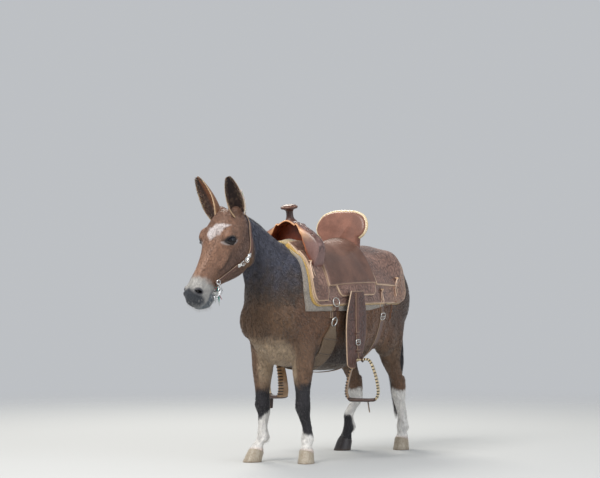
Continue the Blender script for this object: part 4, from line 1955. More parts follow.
def build_stirrups(mats):
    for side, sign in SIDES:
        points, spin, out_x = stirrup_frame(side, sign)
        wide = spin @ ALONG
        count = len(points)
        rings, outs = [], []
        centre = sum(points, Vector()) / count
        for i, p in enumerate(points):
            ahead = (points[(i + 1) % count] - points[i - 1]).normalized()
            thick = ahead.cross(wide).normalized()
            if thick.dot(p - centre) < 0:
                thick = -thick
            outs.append(thick)
            rings.append(squarish(p, wide * bow_breadth(p.z), thick * 0.0042, 20, 0.7))
        obj = plain_tint(loft("bow", rings, True), RAWHIDE)
        spot = points_of(obj.data)
        colour = plain(RAWHIDE, spot)
        x_local = (spot - np.array(centre)) @ np.array(spin @ ACROSS) * sign
        colour = mixed(colour, srgb(150, 104, 72), smoothstep(-x_local, 0.020, 0.034) * 0.75)
        colour = mixed(colour, srgb(120, 96, 70), smoothstep(lattice_noise(spot, 60, 3), 0.55, 0.8) * 0.35)
        tint(obj.data, colour)
        finished(obj, f"stirrup_{side}_bow", rawhide_material(), (f"stirrup_{side}",), 50)
        laces, tread, run = [], [], 0.0
        for i, p in enumerate(points):
            run += (p - points[i - 1]).length
            ahead = (points[(i + 1) % count] - points[i - 1]).normalized()
            breadth = bow_breadth(p.z)
            if run > 0.0088 and p.z > STIRRUP_LOW_Z + 0.012:
                run = 0.0
                laces.append(small_box("lace", p + outs[i] * 0.0044 - wide * breadth * 0.54,
                                       (wide, ahead, outs[i]), (breadth * 0.44, 0.0020, 0.0009), LACE))
                laces.append(small_box("knot", p - wide * breadth + outs[i] * 0.0008, (outs[i], ahead, wide),
                                       (0.0040, 0.0020, 0.0011), LACE))
            if p.z < STIRRUP_LOW_Z + 0.006:
                tread.append(p)
        finished(joined("laces", laces), f"stirrup_{side}_lacing", mats["strap"], ())
        tread.sort(key=lambda q: q.dot(spin @ ACROSS))
        wrap = [squarish(p, wide * 0.0262, UP * 0.0062, 24, 0.6) for p in tread]
        pad = plain_tint(loft("tread", wrap), srgb(70, 48, 40))
        away = spin @ ACROSS * sign
        end = sum(tread, Vector()) / len(tread) + away * 0.020
        steps = [k / 8 for k in range(9)]
        tail = [end + UP * (-0.004 - 0.042 * t) + wide * (0.004 * t * t) + away * (0.006 * t) for t in steps]
        strap = ribbon("end", tail, away, [0.018 - 0.006 * t ** 3 for t in steps], 0.003, srgb(52, 36, 32))
        finished(joined("tread", [pad, strap]), f"stirrup_{side}_tread", mats["strap"], ())
        x = sign * (out_x + 0.0018)
        line = [Vector((x + sign * 0.006 * t, STIRRUP_Y - 0.008 + 0.008 * t, 0.3915 - 0.0135 * t))
                for t in (k / 6 for k in range(7))]
        hang = ribbon("hang", line, ACROSS * sign, 0.030, 0.0045, HANGER)
        loop = circle(Vector((sign * (out_x + 0.010), STIRRUP_Y, STIRRUP_TOP_Z)), wide * 0.0185, UP * 0.0075,
                      24)
        wrap = plain_tint(tube_mesh("wrap", loop, 0.0030, 8, True), HANGER)
        finished(joined("hanger", [hang, wrap]), f"stirrup_{side}_hanger", mats["strap"],
                 (f"stirrup_strap_{side}",))


def build_girths(mats, cover):
    for side, sign in SIDES:
        parts = [strap_on_trunk("latigo", cover, CINCH_Y, 0.0135, sign * 83.5, sign * (RING_ANGLE - 5.0),
                                0.0030, STRAP),
                 strap_on_trunk("latigo wrap", cover, CINCH_Y - 0.003, 0.0145, sign * (RING_ANGLE - 6.2),
                                sign * (RING_ANGLE - 4.4), 0.0062, STRAP, 0.0008, 10),
                 strap_on_trunk("latigo end", cover, CINCH_Y + 0.005, 0.0115, sign * 86.0,
                                sign * (RING_ANGLE - 1.5), 0.0028,
                                srgb(92, 62, 50), 0.0040, 40)]
        finished(joined("latigo", parts), f"latigo_{side}_strap", mats["strap"],
                 (f"latigo_{side}",))
        low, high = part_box(f"cinch_ring_{side}")
        centre = (low + high) / 2 - SHIFT
        normal = Vector((sign, 0, -0.30)).normalized()
        a = (UP - normal * normal.z).normalized()
        b = normal.cross(a)
        line = circle(centre, a * 0.0165, b * 0.0165, 40)
        ring = plain_tint(tube_mesh("ring", line, 0.0027, 12, True), BRIGHT)
        finished(ring, f"cinch_ring_{side}_wire", metal_material(), (f"cinch_ring_{side}",), 0)
        billet = strap_on_trunk("billet", cover, REAR_CINCH_Y, 0.0115, sign * 83.5, sign * 107.2, 0.0030,
                                STRAP)
        keeper = strap_on_trunk("keeper", cover, REAR_CINCH_Y, 0.0145, sign * 95, sign * 97.5, 0.0052,
                                SADDLE_DARK, 0.0008, 8)
        finished(joined("billet", [billet, keeper]), f"rear_billet_{side}_strap", mats["strap"],
                 (f"rear_billet_{side}",))
        centre, out = radial_point(cover, REAR_CINCH_Y, sign * 101, 0.0058)
        down = Vector((out.z * sign, 0, -abs(out.x))).normalized()
        finished(buckle("buckle", centre, down, out, 0.031, 0.024, 0.0018), f"rear_buckle_{side}",
                 metal_material(),
                 ())
        strings = []
        for dy, reach in ((-0.004, 112), (0.005, 108)):
            route = [radial_point(cover, 0.245 + dy + 0.003 * math.sin(k * 1.3 + dy * 500),
                                  sign * (82 + (reach - 82) * k / 10),
                                  0.0016)[0] for k in range(11)]
            strings.append(string(route, 0.0022, srgb(170, 122, 92), 0.45))
        finished(joined("strings", strings), f"saddle_strings_{side}", mats["strap"],
                 (f"saddle_string_{side}",))
        ties = [rosette("tie", cover, y, sign * angle, 0.0095, drop)
                for y, angle, drop in ((-0.2985, 33, 0.062), (0.118, 68, 0.075), (0.262, 54, 0.075))]
        finished(joined("ties", ties), f"rosette_ties_{side}", mats["strap"], ())
        dee, out = radial_point(cover, CINCH_Y, sign * 80.5, 0.0025)
        line = circle(dee, ALONG * 0.021, Vector((out.z * sign, 0, -abs(out.x))) * 0.016, 30)
        ring = plain_tint(tube_mesh("dee", line, 0.0022, 10, True), BRIGHT)
        finished(ring, f"rigging_ring_{side}", metal_material(), (), 0)
    cords = []
    for k in range(11):
        y = CINCH_Y + CINCH_HALF * 0.90 * (k / 5 - 1)
        route = []
        for i in range(60):
            angle = RING_ANGLE + 6.0 + (360 - 2 * RING_ANGLE - 12.0) * i / 59
            pinch = 0.35 + 0.65 * smooth1(min(i, 59 - i) / 10, 0, 1)
            route.append(radial_point(cover, CINCH_Y + (y - CINCH_Y) * pinch, angle, 0.0046)[0])
        cords.append(plain_tint(tube_mesh("strand", route, 0.0035, 8), srgb(122, 102, 80)))
    for k in range(7):
        angle = RING_ANGLE + 22 + (360 - 2 * RING_ANGLE - 44) * k / 6
        route = [radial_point(cover, CINCH_Y + CINCH_HALF * 0.94 * (i / 10 - 1), angle, 0.0082)[0]
                 for i in range(21)]
        cords.append(plain_tint(tube_mesh("cross", route, 0.0018, 6), srgb(96, 78, 60)))
    finished(joined("cinch", cords), "cinch_front_cords", cord_material("mohair", 900.0),
             ("cinch_front",), 0)
    rear = strap_on_trunk("rear", cover, REAR_CINCH_Y, REAR_CINCH_HALF, 106.6, 360 - 106.6, 0.0040, STRAP,
                          0.0012, 90)
    finished(rear, "cinch_rear_strap", mats["strap"], ("cinch_rear",))
    hobble = [radial_point(cover, CINCH_Y + (REAR_CINCH_Y - CINCH_Y) * t, 180, 0.0075)[0]
              for t in (0.10 + 0.82 * k / 24 for k in range(25))]
    link = ribbon("link", hobble, Vector((0, 0, -1)), 0.014, 0.0028, STRAP)
    finished(link, "cinch_link", mats["strap"], ())


def cord_material(name, twist, rough=0.85):
    if name not in MADE:
        f = Finish(name, rough, specular=0.2, sheen=0.4)
        base = f.tint()
        fibre = f.noise(twist, 3.0)
        f.colour(f.mix(f.ramp(fibre, 0.3, 0.7), f.times(base, (0.55, 0.52, 0.5)),
                       f.times(base, (1.2, 1.2, 1.2))))
        f.bump(fibre, 0.9, 0.0008)
        MADE[name] = f.done()
    return MADE[name]


def laid(skin, aims, lift):
    """A route on the skin through the rough aims, with the skin's outward direction at each point."""
    length = sum((b - a).length for a, b in zip(aims, aims[1:]))
    steps = max(2, round(length / 0.004 / (len(aims) - 1)))
    points = []
    for row in smooth_rows([tuple(p) for p in aims], steps):
        points.append(skin.find_nearest(Vector(row))[:2])
    out = []
    for i in range(len(points)):
        near = points[max(0, i - 5):i + 6]
        mean = sum((n for _, n in near), Vector()).normalized()
        place = sum((p for p, _ in near), Vector()) / len(near)
        out.append((place.lerp(points[i][0], 0.4) + mean * lift, mean))
    return out


SIDE_AIMS = ((0.267, 0.088, 0.058), (0.250, 0.098, 0.060), (0.225, 0.112, 0.065), (0.185, 0.128, 0.070),
             (0.140, 0.138, 0.080), (0.098, 0.140, 0.085), (0.055, 0.126, 0.085), (0.020, 0.108, 0.080),
             (-0.012, 0.094, 0.072), (-0.040, 0.080, 0.050), (-0.054, 0.072, 0.024))


def build_bridle(mats, skin):
    aims = [head_point(*a) for a in SIDE_AIMS] + [head_point(-0.058, 0.070, 0.0)]
    aims += [head_point(a, b, -c) for a, b, c in reversed(SIDE_AIMS)]
    route = laid(skin, aims, 0.0034)
    points, ups = [p for p, _ in route], [n for _, n in route]
    strap = ribbon("headstall", points, ups, 0.0135, 0.0034, srgb(104, 68, 58))
    metal, parts = [], [strap]
    for sign in (1, -1):
        marks = [(0.118, 0.139, 0.080), (0.172, 0.131, 0.072)]
        for index, (down, inward, out) in enumerate(marks):
            want = head_point(down, inward, sign * out)
            i = min(range(1, len(points) - 1), key=lambda k: (points[k] - want).length)
            ahead = (points[i + 1] - points[i - 1]).normalized()
            if ahead.z < 0:
                ahead = -ahead
            side = ahead.cross(ups[i]).normalized()
            if index == 0:
                metal.append(arrow_plate(points[i] + ups[i] * 0.0018, ahead, side, ups[i], 0.0135))
                metal.append(buckle("buckle", points[i] + ups[i] * 0.0026 - ahead * 0.014, ahead, ups[i],
                                    0.019, 0.013, 0.0014))
            else:
                metal.append(small_box("tip", points[i] + ups[i] * 0.0022, (side, ahead, ups[i]),
                                       (0.0068, 0.0085, 0.0012), BRIGHT, 0.6))
                metal.append(buckle("buckle", points[i] + ups[i] * 0.0026 + ahead * 0.014, ahead, ups[i],
                                    0.018, 0.012, 0.0013))
            keeper = [points[i] - ahead * 0.026 + ups[i] * 0.0024 + side * (0.0072 * (k / 6 - 1))
                      for k in range(13)]
            parts.append(ribbon("keeper", keeper, [ups[i]] * 13, 0.006, 0.0018, srgb(84, 54, 44)))
    finished(joined("headstall", parts), "headstall_strap", mats["strap"], ("headstall",))
    silver = metal_material("bright silver", (0.86, 0.86, 0.85), 0.16)
    finished(joined("silver", metal), "headstall_silver", silver, (), 40)
    for side, sign in SIDES:
        build_bit(side, sign, skin)


def arrow_plate(centre, ahead, side, up, size):
    """A flat silver arrow head that points up the strap."""
    shape = ((0.0, 1.25), (0.85, 0.15), (0.42, 0.15), (0.42, -0.95), (-0.42, -0.95), (-0.42, 0.15),
             (-0.85, 0.15))
    rings = []
    for lift, size_here in ((-0.0010, 1.0), (0.0008, 1.0), (0.0014, 0.86)):
        rings.append([centre + side * (a * size * size_here) + ahead * (b * size * size_here) + up * lift
                      for a, b in shape])
    return plain_tint(loft("arrow", rings), BRIGHT)


def build_bit(side, sign, skin):
    """A curved cheek piece with its rings."""
    aims = [(0.262, 0.080), (0.266, 0.094), (0.279, 0.104), (0.296, 0.104), (0.309, 0.096)]
    points = []
    for down, inward in aims:
        place = skin.find_nearest(head_point(down, inward, sign * 0.06))[0]
        level = max((place - POLL).dot(LEFT) * sign, BIT_OUT)
        points.append(head_point(down, inward, sign * (level + 0.0066)))
    rows = curve_points(points, 8)
    count = len(rows)
    radius = [0.0030 + 0.0012 * math.sin(math.pi * i / (count - 1)) for i in range(count)]
    parts = [tube_mesh("shank", rows, radius, 12)]
    for place, size, wire in ((rows[0] + FACE * -0.004, 0.0085, 0.0018),
                              (rows[-1] + FACE * 0.004, 0.0070, 0.0016),
                              (rows[count // 2], 0.0105, 0.0022)):
        parts.append(tube_mesh("ring", circle(place, FACE * size, JAW * size, 28), wire, 10, True))
    bar_in = [rows[count // 2] - LEFT * (sign * t) + FACE * -0.006 * t / 0.03 for t in (0.0, 0.004, 0.008)]
    parts.append(tube_mesh("mouth bar", bar_in, 0.0036, 10))
    steel = metal_material("bit steel", (0.70, 0.70, 0.70), 0.20)
    parts = [plain_tint(part, BRIGHT) for part in parts]
    finished(joined("bit", parts), f"bit_{side}_cheek", steel, (f"bit_{side}",), 0)


def chin_route(skin, down, lift, swing, steps):
    hub = head_point(down, 0.070, 0)
    route = []
    for turn in spread(-swing, swing, steps):
        out = JAW * math.cos(math.radians(turn)) + LEFT * math.sin(math.radians(turn))
        hit = skin.ray_cast(hub + out * 0.2, -out, 0.2)[0]
        route.append(hit + out * lift)
    return route


def build_chin(skin):
    route = chin_route(skin, 0.296, 0.0046, 62, 60)
    links = []
    run = 0.0
    for i in range(1, len(route) - 1):
        run += (route[i] - route[i - 1]).length
        if run < 0.0056:
            continue
        run = 0.0
        ahead = (route[i + 1] - route[i - 1]).normalized()
        out = (route[i] - head_point(0.296, 0.070, 0)).normalized()
        side = ahead.cross(out).normalized()
        if len(links) % 2:
            out, side = side, out
        link = circle(route[i], ahead * 0.0046, side * 0.0027, 14)
        links.append(plain_tint(tube_mesh("link", link, 0.0011, 6, True), BRIGHT))
    finished(joined("chain", links), "curb_chain_links", metal_material(), ("curb_chain",), 0)
    build_chin_cord(skin)


RED, TEAL, PALE_CORD = srgb(176, 34, 58), srgb(38, 150, 140), srgb(206, 214, 208)


def build_chin_cord(skin):
    """Two cords twisted together under the chin, with a knot and loose ends on the left."""
    route = chin_route(skin, 0.276, 0.0062, 56, 90)
    parts = []
    for index, colour in enumerate((RED, RED, TEAL)):
        line = []
        for i, p in enumerate(route):
            ahead = (route[min(i + 1, 90)] - route[max(i - 1, 0)]).normalized()
            out = (p - head_point(0.276, 0.070, 0)).normalized()
            side = ahead.cross(out).normalized()
            turn = i * 0.55 + index * math.tau / 3
            line.append(p + out * (0.0017 * math.cos(turn)) + side * (0.0022 * math.sin(turn)))
        parts.append(plain_tint(tube_mesh("ply", line, 0.0019, 8), colour))
    knot_at = route[-12]
    for index, colour in enumerate((TEAL, RED, TEAL)):
        ring = [knot_at + JAW * (0.0045 * math.cos(t)) + UP * (0.0050 * math.sin(t))
                + LEFT * (0.0022 * math.sin(2 * t) + 0.002 * index) for t in turns(24)]
        parts.append(plain_tint(tube_mesh("knot", ring, 0.0024, 8, closed=True), colour))
    ends = ((TEAL, 0.040, 0.018, 0.3), (TEAL, 0.046, 0.010, 1.1), (RED, 0.036, 0.022, 2.0),
            (PALE_CORD, 0.052, 0.004, 2.9),
            (PALE_CORD, 0.058, 0.014, 3.7), (PALE_CORD, 0.048, -0.006, 4.6), (TEAL, 0.034, 0.026, 5.2))
    for colour, length, away, phase in ends:
        line = []
        for k in range(13):
            t = k / 12
            line.append(knot_at + LEFT * (0.004 + 0.004 * math.sin(phase)) + ALONG * (away * t)
                        + LEFT * (0.004 * math.sin(phase + 5 * t) * t) + UP * (-length * t ** 1.2))
        parts.append(plain_tint(tube_mesh("end", line, [0.0017 - 0.0008 * (k / 12) for k in range(13)], 6),
                                colour))
    finished(joined("cord", parts), "chin_cord_plies", cord_material("braid", 1400.0, 0.7),
             ("chin_cord",), 0)


def strands(name, paths, half, high, sides, colours, dark_root=0.75):
    """Closed three-sided hairs along paths (count, steps, 3). half is each one's half width at every step but
    the last, high its thickness as a share of that, and sides its flat direction."""
    count, steps, _ = paths.shape
    rings = steps - 1
    ahead = np.empty((count, rings, 3))
    ahead[:, 0] = paths[:, 1] - paths[:, 0]
    ahead[:, 1:] = paths[:, 2:] - paths[:, :-2]
    ahead /= np.maximum(np.linalg.norm(ahead, axis=2, keepdims=True), 1e-9)
    side = np.repeat(sides[:, None, :], rings, 1)
    side = side - ahead * np.sum(side * ahead, axis=2, keepdims=True)
    side /= np.maximum(np.linalg.norm(side, axis=2, keepdims=True), 1e-9)
    up = np.cross(side, ahead)
    base = paths[:, :-1]
    w = half[:, :, None]
    ring = np.stack([base - side * w, base + side * w, base + up * w * high], axis=2)
    verts = np.concatenate([ring.reshape(count, rings * 3, 3), paths[:, -1:]], axis=1)
    each = rings * 3 + 1
    loops, totals = [(0, 1, 2)], [3]
    for i in range(rings - 1):
        for k in range(3):
            n = (k + 1) % 3
            a, b = i * 3, i * 3 + 3
            loops.append((a + k, b + k, b + n, a + n))
            totals.append(4)
    last = (rings - 1) * 3
    for k in range(3):
        loops.append((last + k, each - 1, last + (k + 1) % 3))
        totals.append(3)
    flat = np.array([v for face in loops for v in face], np.int32)
    index = (np.arange(count, dtype=np.int32)[:, None] * each + flat[None, :]).ravel()
    total = np.tile(np.array(totals, np.int32), count)
    start = np.concatenate([[0], np.cumsum(total)[:-1]]).astype(np.int32)
    mesh = bpy.data.meshes.new(name)
    mesh.vertices.add(count * each)
    mesh.vertices.foreach_set("co", verts.astype(np.float32).ravel())
    mesh.loops.add(len(index))
    mesh.loops.foreach_set("vertex_index", index)
    mesh.polygons.add(len(total))
    mesh.polygons.foreach_set("loop_start", start)
    mesh.update(calc_edges=True)
    obj = linked(name, mesh)
    shade = np.ones(each)
    shade[:3] = dark_root
    tint(mesh, (colours[:, None, :] * shade[None, :, None]).reshape(-1, 3))
    return obj


PATCH = 0.003            # of the map that each tuft takes
COAT_TRIES = 84000       # tufts, before those under the tack are left out


def bake_map(obj, places, each):
    """Maps every tuft to a small patch at its root's place."""
    turn = math.tau * np.arange(each) / each
    spot = np.stack([np.cos(turn), np.sin(turn)], axis=1) * (PATCH / 2)
    values = (places[:, None, :] + spot[None, :, :]).reshape(-1, 2)
    set_uv(obj.data, values, "OFBake")


SOFT_HAIR, LONG_HAIR = ("soft hair", 0.6, 0.25, 0.3), ("long hair", 0.42, 0.45, 0.1)


def hair_material(name, rough=0.55, specular=0.3, sheen=0.2):
    if name not in MADE:
        f = Finish(name, rough, specular=specular, sheen=sheen)
        base = f.tint()
        grain = f.noise(900, 2.0)
        f.colour(f.mix(f.ramp(grain, 0.35, 0.65), f.times(base, (0.86, 0.85, 0.85)),
                       f.times(base, (1.10, 1.09, 1.08))))
        MADE[name] = f.done()
    return MADE[name]


def unit(vectors):
    return vectors / np.maximum(np.linalg.norm(vectors, axis=-1, keepdims=True), 1e-9)


def scattered(mesh, count, density):
    """Random places on a mesh with their normals. density weighs each triangle by its middle."""
    mesh.calc_loop_triangles()
    tris = np.empty(len(mesh.loop_triangles) * 3, np.int32)
    mesh.loop_triangles.foreach_get("vertices", tris)
    tris = tris.reshape(-1, 3)
    place, normal = points_of(mesh), normals_of(mesh)
    a, b, c = (place[tris[:, k]] for k in range(3))
    area = np.linalg.norm(np.cross(b - a, c - a), axis=1) / 2
    weight = np.cumsum(area * density((a + b + c) / 3))
    pick = np.searchsorted(weight, RNG.random(count) * weight[-1])
    pick = np.minimum(pick, len(tris) - 1)
    r, s = RNG.random(count), RNG.random(count)
    flip = r + s > 1
    r, s = np.where(flip, 1 - r, r), np.where(flip, 1 - s, s)
    share = np.stack([1 - r - s, r, s], axis=1)[:, :, None]
    return np.sum(place[tris[pick]] * share, axis=1), unit(np.sum(normal[tris[pick]] * share, axis=1))


def head_share(points):
    return smoothstep(past_cut(points), -0.020, 0.010)


def coat_density(points):
    """Tufts for an area: closest on the head and feet, where they are smallest."""
    z = points[:, 2]
    on_head = head_share(points)
    low = 1 - smoothstep(z, 0.20, 0.36)
    down = head_coords(points)[0]
    return 1.0 + 1.6 * on_head + 0.9 * low * (1 - on_head) + 1.2 * on_head * smoothstep(down, 0.24, 0.30)


def coat_lie(points, normals):
    """The direction that the hair lies in."""
    y, z = points[:, 1], points[:, 2]
    lie = plain((0.0, 0.80, -0.52), points)
    neck = smoothstep(-y, 0.30, 0.42)[:, None]
    lie = lie * (1 - neck) + np.array((0.0, 0.42, -0.90)) * neck
    leg = (1 - smoothstep(z, 0.34, 0.50))[:, None]
    lie = lie * (1 - leg) + np.array((0.0, 0.14, -1.0)) * leg
    head = head_share(points)[:, None]
    inward = head_coords(points)[1]
    face = np.array(FACE)[None, :] + np.array(JAW)[None, :] * (0.35 * smoothstep(inward, 0.04, 0.12))[:, None]
    lie = lie * (1 - head) + face * head
    swirl = (lattice_noise(points, 26, 12) - 0.5) * 1.0 + (lattice_noise(points, 90, 13) - 0.5) * 0.5
    lie = unit(lie - normals * np.sum(lie * normals, axis=1, keepdims=True))
    across = np.cross(normals, lie)
    return unit(lie * np.cos(swirl)[:, None] + across * np.sin(swirl)[:, None])


def coat_regions(points):
    """The piece that each tuft goes to, and its place on that piece's map."""
    x, y, z = points.T
    down, inward, out = head_coords(points)
    head = head_share(points) > 0.5
    middle_z = 0.56 + 0.22 * smoothstep(-y, 0.30, 0.58)
    round_trunk = np.stack([np.arctan2(x, z - middle_z) / math.tau + 0.5, (y + 0.70) / 1.40], axis=1)
    round_head = np.stack([np.arctan2(out, 0.07 - inward) / math.tau + 0.5, (down + 0.10) / 0.52], axis=1)
    neck = ~head & (y < -0.36) & (z > 0.44)
    low = ~head & ~neck & (z < 0.44)
    regions = [("head", head, round_head), ("neck", neck, round_trunk)]
    for kind, side, sign, joints in LEGS:
        mine = low & (x * sign > 0) & ((y < 0.0) if kind == "fore" else (y >= 0.0))
        high = joints.get("knee", joints.get("hock"))
        around = np.arctan2(x - sign * LEG_OUT, y - (joints["fetlock"] * 0.5 + high * 0.5)) / math.tau + 0.5
        regions.append((f"{kind}leg_{side}", mine, np.stack([around, z / 0.50], axis=1)))
    for side, sign in SIDES:
        regions.append((f"trunk_{side}", ~head & ~neck & ~low & (x * sign > 0), round_trunk))
    return regions


def build_coat(skin, tack, mouth):
    """Short flat tufts over the whole skin but where tack lies on it."""
    points, normals = scattered(skin.data, COAT_TRIES, coat_density)
    lie = coat_lie(points, normals)
    head = head_share(points)
    down, inward, out = head_coords(points)
    z = points[:, 2]
    long = 0.0150 - 0.0040 * (1 - smoothstep(z, 0.26, 0.44)) - 0.0015 * (1 - smoothstep(z, 0.12, 0.2))
    long = long * (1 - head) + (0.0068 - 0.0028 * smoothstep(down, 0.24, 0.30)) * head
    wide = (0.00075 - 0.00020 * (1 - smoothstep(z, 0.26, 0.44))) * (1 - head)
    wide += (0.00052 - 0.00014 * smoothstep(down, 0.24, 0.3)) * head
    belly = smoothstep(0.42 - z, 0.0, 0.03) * (np.abs(points[:, 1] + 0.02) < 0.2)
    long = long + 0.003 * belly
    long = long * RNG.uniform(0.75, 1.2, COAT_TRIES)
    wide = wide * RNG.uniform(0.8, 1.2, COAT_TRIES)
    lift = RNG.uniform(0.0007, 0.0015, COAT_TRIES) * (1 - 0.35 * head)
    keep = np.ones(COAT_TRIES, bool)
    for sign in (1, -1):
        near, reach, _ = round_eye(points, sign)
        keep &= ~(near & (reach < 1.35))
        long = np.where(near, long * 0.6, long)
    local = np.stack([down, inward, np.abs(out)], axis=1)
    keep &= nostril_distance(local, (1, 0.75, 0.8)) > 0.0150
    keep &= ~((head > 0.5) & (line_distance(points, [np.array(p) for p in mouth[::2]]) < 0.0030))
    for i in np.nonzero(keep)[0]:
        p, n = Vector(points[i]), Vector(normals[i])
        if tack.ray_cast(p - n * 0.001, n, 0.016)[0] is not None:
            keep[i] = False
            continue
        tip = p + Vector(lie[i]) * long[i]
        if tack.ray_cast(tip - n * 0.002, n, 0.012)[0] is not None:
            keep[i] = False
    points, normals, lie, long, wide, lift = (v[keep] for v in (points, normals, lie, long, wide, lift))
    colours = coat_colour(points) * RNG.uniform(0.84, 1.16, len(points))[:, None]
    colours *= 1 + (RNG.random((len(points), 1)) < 0.08) * 0.25
    root = points - normals * 0.0007
    middle = points + lie * (long * 0.45)[:, None] + normals * (lift * 0.75)[:, None]
    tip = points + lie * long[:, None] + normals * lift[:, None]
    paths = np.stack([root, middle, tip], axis=1)
    half = np.stack([wide * 0.8, wide], axis=1)
    sides = np.cross(lie, normals)
    material = hair_material("coat tufts")
    for name, mine, places in coat_regions(points):
        obj = strands("coat", paths[mine], half[mine], 0.55, sides[mine], colours[mine], 0.80)
        bake_map(obj, places[mine], 7)
        finished(obj, f"coat_{name}", material, (), 0)


def hair_locks(name, roots, aims, long, half, colours, steps, droop, wave):
    """Free hairs that start at the roots, run in the aims' directions and bend as they go."""
    count = len(roots)
    t = np.linspace(0, 1, steps)[None, :, None]
    aims = unit(aims)
    paths = roots[:, None, :] + aims[:, None, :] * (long[:, None, None] * t)
    paths = paths + np.array((0, 0, -1.0))[None, None, :] * (droop * long[:, None, None] * t * t)
    phase = RNG.uniform(0, math.tau, (count, 1, 1))
    across = unit(np.cross(aims, RNG.normal(size=(count, 3))))
    paths = paths + across[:, None, :] * (wave * np.sin(phase + t * 6.0) * t)
    taper = (1 - 0.75 * np.linspace(0, 1, steps)[:-1] ** 1.5)[None, :] * half[:, None]
    return strands(name, paths, taper, 0.7, across, colours, 0.85)


def build_tail():
    count, steps = 950, 13
    t = np.linspace(0, 1, steps)
    paths, half, colours, sides = [], [], [], []
    for _ in range(count):
        around = math.tau * RNG.random()
        start = 0.015 + 0.40 * RNG.random() ** 1.3
        end = RNG.uniform(0.66, 0.985)
        out = math.sqrt(RNG.uniform(0.04, 1.0))
        wave, phase, turns = RNG.uniform(0.001, 0.0045), RNG.uniform(0, math.tau), RNG.uniform(5, 11)
        line = []
        for s in t:
            here = start + (end - start) * s
            full = 0.015 + 0.021 * math.sin(math.pi * min(1.0, here * 0.85)) ** 1.4
            full *= 1.0 - 0.80 * max(0.0, here - 0.62) / 0.38
            full *= 0.55 + 0.45 * min(1.0, s * 4)
            sway = wave * math.sin(phase + turns * here) * s
            line.append(tail_line(here) + Vector((math.cos(around) * full * out + sway,
                                                  math.sin(around) * full * out * 0.78 + sway * 0.5, 0)))
        paths.append([tuple(p) for p in line])
        half.append([RNG.uniform(0.0008, 0.0013) * (1 - 0.7 * s ** 2) for s in t[:-1]])
        shade = RNG.uniform(0.6, 1.5)
        colours.append(tuple(c * shade for c in (srgb(70, 52, 44) if RNG.random() < 0.25 else BLACK_HAIR)))
        sides.append((-math.sin(around), math.cos(around), 0))
    obj = strands("tail", np.array(paths), np.array(half), 0.7, np.array(sides), np.array(colours))
    dock = tube_mesh("dock", [tail_line(0.44 * i / 14) for i in range(15)],
                     [0.0195 - 0.0135 * (i / 14) ** 2 for i in range(15)], 20, flat=0.8, flat_axis=ACROSS)
    plain_tint(dock, BLACK_HAIR)
    mat = hair_material(*LONG_HAIR)
    finished(dock, "tail_dock", mat, (), 0)
    finished(obj, "tail_strands", mat, ("tail",), 0)


def build_mane(tree):
    count = 4200
    t = RNG.random(count)
    y = MANE_FRONT + (MANE_BACK - MANE_FRONT) * t
    roots, longs = [], []
    for i in range(count):
        x = crest_line(y[i]) + RNG.normal(0, 0.0040)
        hit = tree.ray_cast(Vector((x, y[i], 1.2)), -UP, 0.7)[0]
        roots.append(tuple(hit + UP * -0.001))
        full = MANE_HIGH * (0.35 + 0.65 * math.sin(math.pi * min(1, 0.12 + 0.76 * t[i])))
        full *= 0.3 + 0.7 * smooth1(min(t[i], 1 - t[i]), 0.0, 0.14)
        longs.append(full * RNG.uniform(0.7, 1.3) * (1 - min(0.6, abs(x - crest_line(y[i])) / 0.016)))
    aims = plain((0.0, 0.24, 1.0), roots) + RNG.normal(0, 0.10, (count, 3))
    shade = RNG.uniform(0.6, 1.5, (count, 1))
    obj = hair_locks("mane", np.array(roots), aims, np.array(longs), RNG.uniform(0.0005, 0.0009, count),
                     np.array(BLACK_HAIR)[None, :] * shade, 4, 0.0, 0.0006)
    finished(obj, "mane_bristles", hair_material(*LONG_HAIR), ("mane",), 0)


def build_ear_hair(ears):
    """Hair inside the ears' rims, and a pale tuft behind the left one."""
    roots, aims, longs, colours = [], [], [], []
    for side, rows, axis, opens in ears:
        count = len(rows)
        for _ in range(560):
            i = int(count * (0.06 + 0.78 * RNG.random()))
            columns = len(rows[i]) - 1
            edge = RNG.random() ** 1.8 * 0.30
            k = int(columns * (edge if RNG.random() < 0.5 else 1 - edge))
            p = rows[i][k]
            middle = sum(rows[i], Vector()) / len(rows[i])
            roots.append(tuple(p))
            aims.append(tuple(axis * 0.9 + (middle - p).normalized() * RNG.uniform(0.15, 0.7) + opens * 0.25))
            longs.append(RNG.uniform(0.006, 0.014))
            pale = srgb(158, 130, 104) if RNG.random() < 0.5 else srgb(96, 74, 60)
            colours.append(tuple(c * RNG.uniform(0.7, 1.2) for c in pale))
        if side == "left":
            for _ in range(1100):
                i = int(count * (0.38 * RNG.random() ** 1.2))
                columns = len(rows[i]) - 1
                k = int(columns * (1 - RNG.uniform(0.0, 0.14)))
                roots.append(tuple(rows[i][k]))
                aims.append(tuple(axis * 0.7 + opens * -0.15 + LEFT * 0.45 - UP * 0.1))
                longs.append(RNG.uniform(0.012, 0.024))
                colours.append(tuple(c * RNG.uniform(0.8, 1.1) for c in srgb(236, 232, 226)))
    count = len(roots)
    obj = hair_locks("fringe", np.array(roots), np.array(aims), np.array(longs),
                     RNG.uniform(0.0004, 0.0007, count),
                     np.array(colours), 5, 0.1, 0.0012)
    finished(obj, "ear_fringe", hair_material(*SOFT_HAIR), (), 0)


